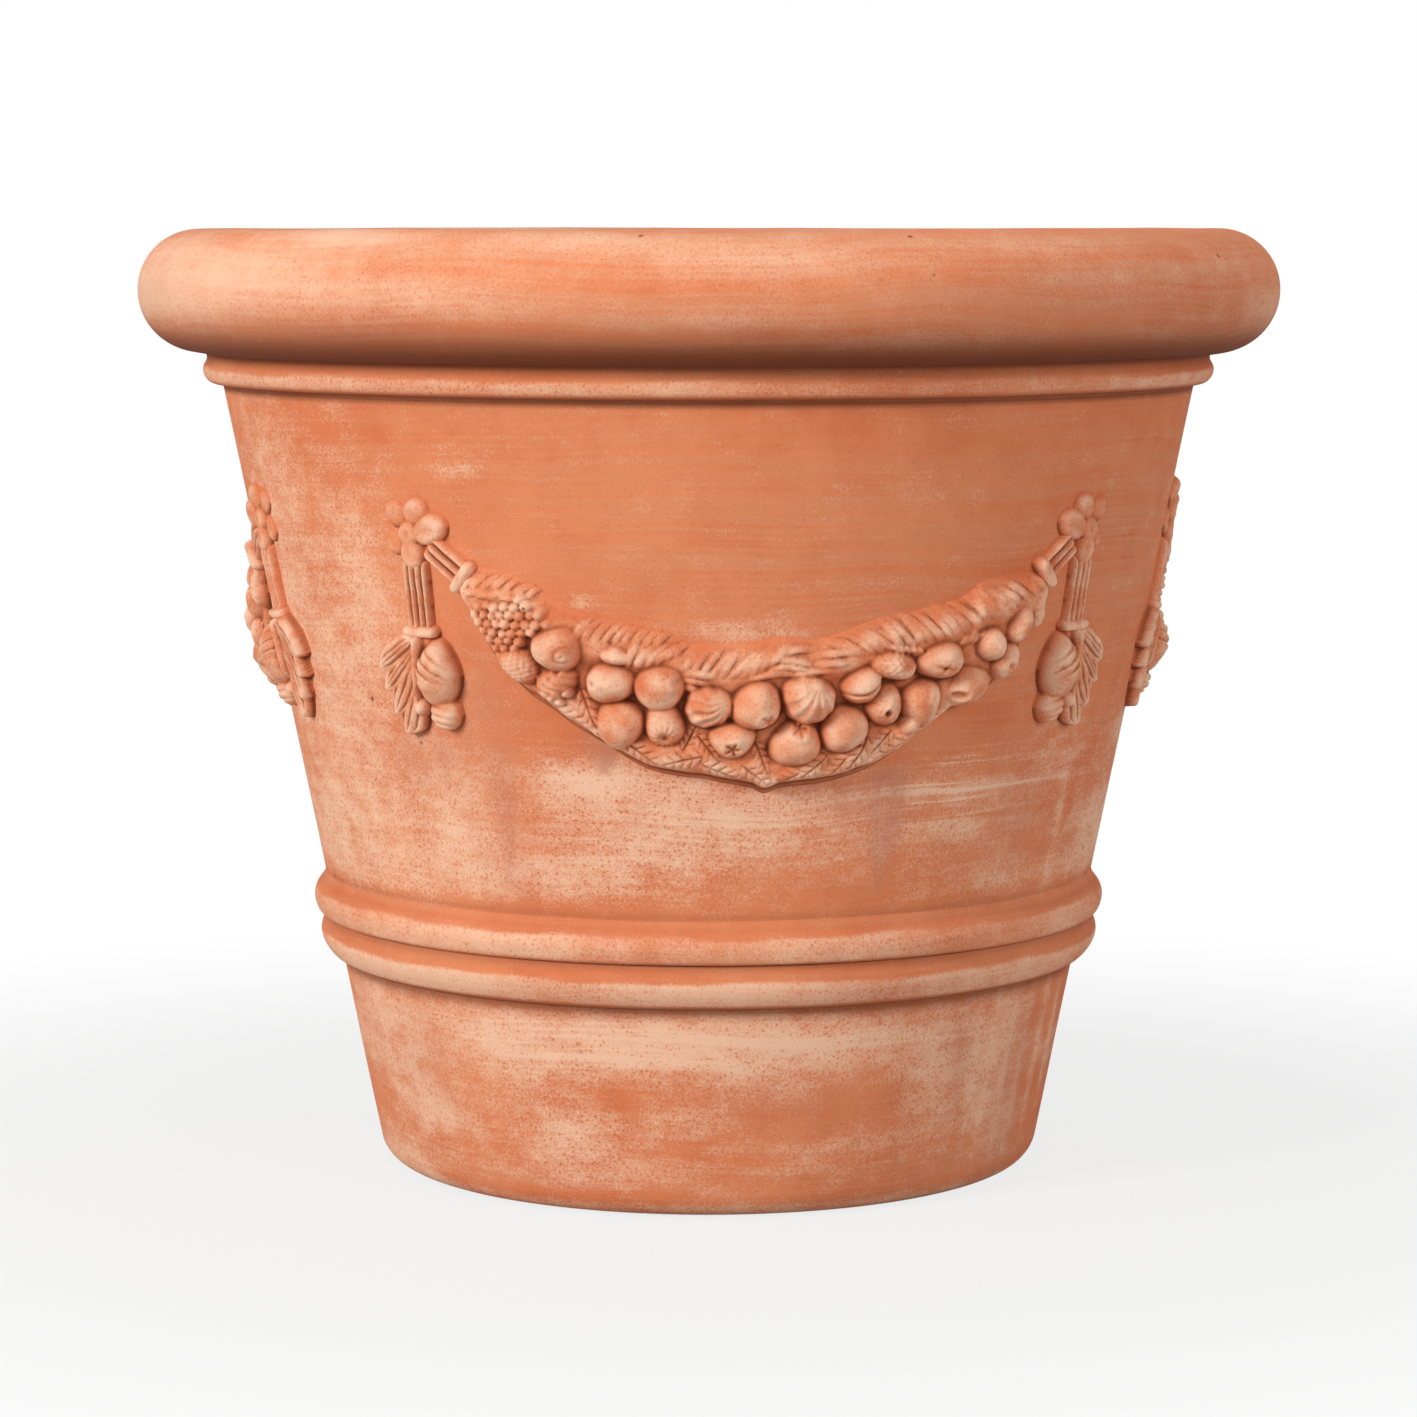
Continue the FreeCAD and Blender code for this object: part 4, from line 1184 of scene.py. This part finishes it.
# what hangs at each end, in millimetres right and up of the left rosette's middle
hanger = {
    "angle": 42.7, "level": 347.5, "step": 0.5,
    # left, right, low and high edge of a sheet, or its margin round what it holds
    "rosetteSheet": (-24, 24, -22, 24), "tasselSheet": (-40, 26, -112, -46), "margin": 18,
    "reedBelow": 14, "reedAbove": 8,
    # petals: x, y, half length, half width, turn, top
    "petals": [(-12.0, 8.6, 8.2, 7.4, 140, 3.4), (-13.6, -5.5, 8.2, 7.2, 200, 3.2),
               (-3.4, -10.6, 8.8, 7.8, -75, 7.8), (1.0, 10.4, 8.8, 7.4, 35, 5.6),
               (9.0, 1.8, 11.4, 8.4, 22, 7.6)],
    "petalFoot": -1.5, "petalCup": 2.0, "cupFull": 6.4, "cupNarrow": 1.7, "cupShift": 1.0,
    # the button: x, y, radius, top
    "button": (-4.0, -0.8, 6.2, 5.4), "buttonFoot": 2.4, "buttonDent": 1.5, "dentReach": 2.2,
    "strapEnd": (26.0, -20.8), "strapReeds": 3, "strapPitch": 5.0, "strapRadius": 3.1, "strapSeat": 1.8,
    "stemStart": (-2.2, 0.0), "stemEnd": (-4.2, -49.0), "stemReeds": 4, "stemPitch": 4.0, "stemRadius": 2.3,
    "stemSeat": 2.8,
    "reedCut": 1.1, "reedRound": 0.42, "reedTuck": 8.0, "stemTuck": 13.0, "reedRamp": 4.0, "reedOver": 2.0,
    "reedEdge": 8, "reedShade": 7,
    "bandHalf": 9.6, "bandRadius": 3.7, "tieHalf": 10.8, "tieRadius": 3.2, "bandSeat": 4.2,
    # bed of the tassel: as the petals; its leaves: root, tip, width, lift, streaks
    "tasselGround": 3.4, "tasselBed": ((-4.5, -66, 21.0, 13.0, 88, 5.4), (-12, -82, 14.0, 11.0, 60, 4.4)),
    "tasselFoot": -2.5,
    "tasselLeaves": [
        ((-12, -80), (-22, -102), 19.0, 3.2, 4), ((-7, -60), (-28, -92), 17.0, 4.2, 4),
        ((-7, -56), (-33, -80), 14.0, 4.6, 3), ((-7, -52), (-35, -68.5), 15.0, 5.0, 3),
    ],
    "leafGroove": 0.9, "leafEdgeShade": 0.5,
    "tasselMiddle": ((-5, -50), (-9.5, -82), 6.0, 6.4), "middleEdgeShade": 0.7,
    # buds, as the petals: a small one, the ribbed tip, and the large one that is wrapped in folds
    "smallBud": (-8.6, -87, 5.6, 5.0, 60, 9.0), "ribbedTip": (5.4, -89.5, 9.8, 10.0, 78, 10.4),
    "largeBud": (4.4, -69.5, 18.0, 13.2, 84, 15.0), "budFoot": -1.5,
    "tipRib": 1.3, "ribPitch": 1.5, "ribCurve": 0.03,
    "budTaper": 0.34, "budFold": 2.2, "foldPitch": 5.0, "foldLean": 0.09, "foldCurve": 0.004,
    "foldFrom": 4.0, "foldShade": (0.06, 0.10, 0.9),
    # dents of hand work: seed, reach, depth
    "rosetteWorn": (41, 2.0, 0.2), "reedWorn": (42, 2.0, 0.10), "bandWorn": (43, 2.0, 0.2),
    "tasselWorn": (44, 1.8, 0.25),
}


def rosetteMould():
    mould = openMould(*hanger["rosetteSheet"], hanger["step"])
    for x, y, halfLength, halfWidth, turn, top in hanger["petals"]:
        along, across, form = ball(mould, x, y, halfLength, halfWidth, turn, hanger["petalFoot"], top)
        narrow = hanger["cupNarrow"]
        far = ((along + hanger["cupShift"]) / halfLength * narrow) ** 2 + (across / halfWidth * narrow) ** 2
        press(mould, form - hanger["petalCup"] * top / hanger["cupFull"] * np.exp(-far), joins["close"])
    x, y, radius, top = hanger["button"]
    form = ball(mould, x, y, radius, radius, 0, hanger["buttonFoot"], top)[2]
    far = np.hypot(mould["x"] - x, mould["y"] - y)
    press(mould, form - hanger["buttonDent"] * spot(far, hanger["dentReach"]), joins["close"])
    handWorn(mould, *hanger["rosetteWorn"])
    return mould


def reedMould(start, end, kind, tuck):
    count, pitch, radius, seat = (hanger[kind + value] for value in ("Reeds", "Pitch", "Radius", "Seat"))
    left, right = sorted((start[0], end[0]))
    mould = openMould(left - hanger["margin"], right + hanger["margin"], end[1] - hanger["reedBelow"],
                      start[1] + hanger["reedAbove"], hanger["step"])
    along, across, run = alongLine(mould, start, end)
    half = count * pitch / 2
    ridge = 0.5 - 0.5 * np.cos(2 * math.pi * (across + half) / pitch)
    form = seat - hanger["reedCut"] + (radius + hanger["reedCut"]) * ridge ** hanger["reedRound"]
    form = form * np.sqrt(np.clip(1 - (across / half) ** hanger["reedEdge"], 0, 1))
    form = form * np.clip((along - tuck) / hanger["reedRamp"], 0, 1) ** 0.5
    inside = (np.abs(across) < half) & (along > tuck) & (along < run + hanger["reedOver"])
    press(mould, np.where(inside, form, nothing), joins["crisp"])
    # painted shade in the grooves between the reeds
    mould["cut"][:] = np.where(inside & (np.abs(across) < half - 1), (1 - ridge) ** hanger["reedShade"], 0)
    handWorn(mould, *hanger["reedWorn"])
    return mould


def bandMould(middle, way, half, radius):
    x, y = middle
    margin = hanger["margin"]
    mould = openMould(x - margin, x + margin, y - margin, y + margin, hanger["step"])
    reach = np.array([-way[1], way[0]]) / np.hypot(*way) * (half - radius)
    press(mould, cordForm(mould, middle - reach, middle + reach, radius, hanger["bandSeat"]), joins["close"])
    handWorn(mould, *hanger["bandWorn"])
    return mould


def largeBud(mould):
    # the large bud of the tassel, wrapped in folds down to its middle
    x, y, halfLength, halfWidth, turn, top = hanger["largeBud"]
    along, across = about(mould, x, y, turn)
    foot = hanger["budFoot"]
    narrow = 1 - hanger["budTaper"] * np.clip(along / halfLength, 0, 1) ** 1.5
    left = np.clip(1 - (along / halfLength) ** 2 - (across / halfWidth / narrow) ** 2, 0, 1)
    wrap = np.clip((along + hanger["foldFrom"]) / hanger["foldFrom"], 0, 1) * np.clip(left * 2.5, 0, 1)
    fold = (along / hanger["foldPitch"] - hanger["foldLean"] * across + hanger["foldCurve"] * across ** 2) % 1
    form = foot + (top - foot) * np.sqrt(left) + hanger["budFold"] * (fold - 0.5) * wrap
    form = np.where(left > 0, form, nothing)
    # painted shade in the creases of the folds
    dark = band(fold, *hanger["foldShade"]) * wrap
    mould["cut"][:] = np.where(form > mould["h"], dark, mould["cut"])
    return form


def tasselMould():
    mould = openMould(*hanger["tasselSheet"], hanger["step"])
    mould["ground"][:] = hanger["tasselGround"]
    for x, y, halfLength, halfWidth, turn, top in hanger["tasselBed"]:
        press(mould, ball(mould, x, y, halfLength, halfWidth, turn, hanger["tasselFoot"], top)[2])
    for root, tip, width, lift, streaks in hanger["tasselLeaves"]:
        pressLeaf(mould, root, tip, width, lift, streaks=streaks, groove=hanger["leafGroove"],
                  margin=hanger["leafEdgeShade"])
    small, ribbed = (ball(mould, *hanger[bud][:5], hanger["budFoot"], hanger[bud][5])
                     for bud in ("smallBud", "ribbedTip"))
    press(mould, small[2], joins["close"])
    along, across, form = ribbed
    ribs = (0.5 + 0.5 * np.cos(hanger["ribPitch"] * along + hanger["ribCurve"] * across ** 2)) ** 4
    press(mould, form - hanger["tipRib"] * ribs, joins["close"])
    press(mould, largeBud(mould), joins["close"])
    pressLeaf(mould, *hanger["tasselMiddle"], margin=hanger["middleEdgeShade"])
    handWorn(mould, *hanger["tasselWorn"])
    return mould


strapEnd, stemStart, stemEnd = (np.array(hanger[end]) for end in ("strapEnd", "stemStart", "stemEnd"))
hangerMoulds = {
    "rosette": rosetteMould(),
    "strap": reedMould((0, 0), strapEnd, "strap", hanger["reedTuck"]),
    "strap_band": bandMould(strapEnd, strapEnd, hanger["bandHalf"], hanger["bandRadius"]),
    "drop_stem": reedMould(stemStart, stemEnd, "stem", hanger["stemTuck"]),
    "drop_band": bandMould(stemEnd, stemEnd - stemStart, hanger["tieHalf"], hanger["tieRadius"]),
    "drop_leaves": tasselMould(),
}
flatHangers = {}
for label, mould in hangerMoulds.items():
    flatHangers[label, "left"] = sprigMesh(label + "Left", mould)
    flatHangers[label, "right"] = sprigMesh(label + "Right", mirrored(mould))

for place, turn in festoonTurns.items():
    layOnWall(place + "GarlandClay", place + "_garland", flatGarland, turn, garland["level"])
    for (label, side), flat in flatHangers.items():
        sideTurn = hanger["angle"] if side == "right" else -hanger["angle"]
        nodeName = place + "_" + label + "_" + side
        layOnWall(nodeName + "_clay", nodeName, flat, turn + sideTurn, hanger["level"])
    print("festoon laid:", place)

# floor, light and camera
studio = {
    "floorSize": 14.0, "floorGap": 0.0004, "floorWhite": 0.50, "floorShare": 0.80, "shadowReach": (0.35, 0.85),
    "lamps": [
        # place, size, watts, tint
        ((-2.8, -2.6, 1.7), 1.2, 121, (1.0, 0.985, 0.96)),
        ((2.8, -2.5, 1.5), 1.6, 48, (1.0, 0.98, 0.96)),
        ((-0.4, -0.4, 3.2), 1.8, 25, (1.0, 1.0, 1.0)),
    ],
    "aim": (0.0, 0.0, 0.26), "worldLight": 0.32,
    "cameraPlace": (0.0, -2.3908, 0.49785), "cameraDip": 6.17, "lens": 114.3, "sensor": 36.0,
}


def backgroundRays(tree):
    # rays that show the white background: the camera's own, and those that a surface mirrors or lets through
    path = node(tree, "ShaderNodeLightPath").outputs
    return calc(tree, "MAXIMUM", path["Is Camera Ray"], calc(
        tree, "MAXIMUM", path["Is Glossy Ray"], path["Is Transmission Ray"]))


def makeFloor():
    half = studio["floorSize"] / 2
    mesh = bpy.data.meshes.new("floor")
    low = -studio["floorGap"]   # clear of the slab's underside
    corners = [(-half, -half, low), (half, -half, low), (half, half, low), (-half, half, low)]
    mesh.from_pydata(corners, [], [(0, 1, 2, 3)])
    floor = bpy.data.objects.new("floor", mesh)
    bpy.context.collection.objects.link(floor)
    paper = bpy.data.materials.new("whitePaper")
    paper.use_nodes = True
    tree = paper.node_tree
    tree.nodes.clear()
    lit = node(tree, "ShaderNodeBsdfDiffuse", {"Color": (studio["floorWhite"],) * 3 + (1.0,)})
    plain = node(tree, "ShaderNodeEmission", {"Color": (1.0, 1.0, 1.0, 1.0), "Strength": 1.0})
    seen = backgroundRays(tree)
    where = node(tree, "ShaderNodeTexCoord").outputs["Object"]
    away = node(tree, "ShaderNodeVectorMath", {0: where}, operation="LENGTH")
    fade = ease(tree, away.outputs["Value"], *studio["shadowReach"])   # the shadow stays near the pot
    share = plus(tree, times(tree, fade, 1 - studio["floorShare"]), studio["floorShare"])
    mix = node(tree, "ShaderNodeMixShader", {0: times(tree, seen, share)})
    plug(tree, mix.inputs[1], lit.outputs[0])
    plug(tree, mix.inputs[2], plain.outputs[0])
    out = node(tree, "ShaderNodeOutputMaterial")
    plug(tree, out.inputs["Surface"], mix.outputs[0])
    mesh.materials.append(paper)


def makeWorld():
    world = bpy.data.worlds.new("studioWorld")
    bpy.context.scene.world = world
    world.use_nodes = True
    tree = world.node_tree
    seen = backgroundRays(tree)
    strength = plus(tree, times(tree, seen, 1.0 - studio["worldLight"]), studio["worldLight"])
    shade = tree.nodes["Background"]
    shade.inputs["Color"].default_value = (1.0, 1.0, 1.0, 1.0)
    plug(tree, shade.inputs["Strength"], strength)


def makeLamps():
    for index, (place, size, watts, lampTint) in enumerate(studio["lamps"]):
        lamp = bpy.data.lights.new("softbox%d" % index, "AREA")
        lamp.size, lamp.energy, lamp.color = size, watts, lampTint
        held = bpy.data.objects.new(lamp.name, lamp)
        held.location = place
        held.rotation_euler = (Vector(studio["aim"]) - Vector(place)).to_track_quat("-Z", "Y").to_euler()
        bpy.context.collection.objects.link(held)


def makeCamera():
    data = bpy.data.cameras.new("camera")
    data.lens, data.sensor_width = studio["lens"], studio["sensor"]
    camera = bpy.data.objects.new("camera", data)
    camera.location = studio["cameraPlace"]
    camera.rotation_euler = (math.radians(90 - studio["cameraDip"]), 0, 0)
    bpy.context.collection.objects.link(camera)
    bpy.context.scene.camera = camera


makeFloor()
makeWorld()
makeLamps()
makeCamera()
bpy.context.scene.view_settings.view_transform = "Standard"
print("studio set")
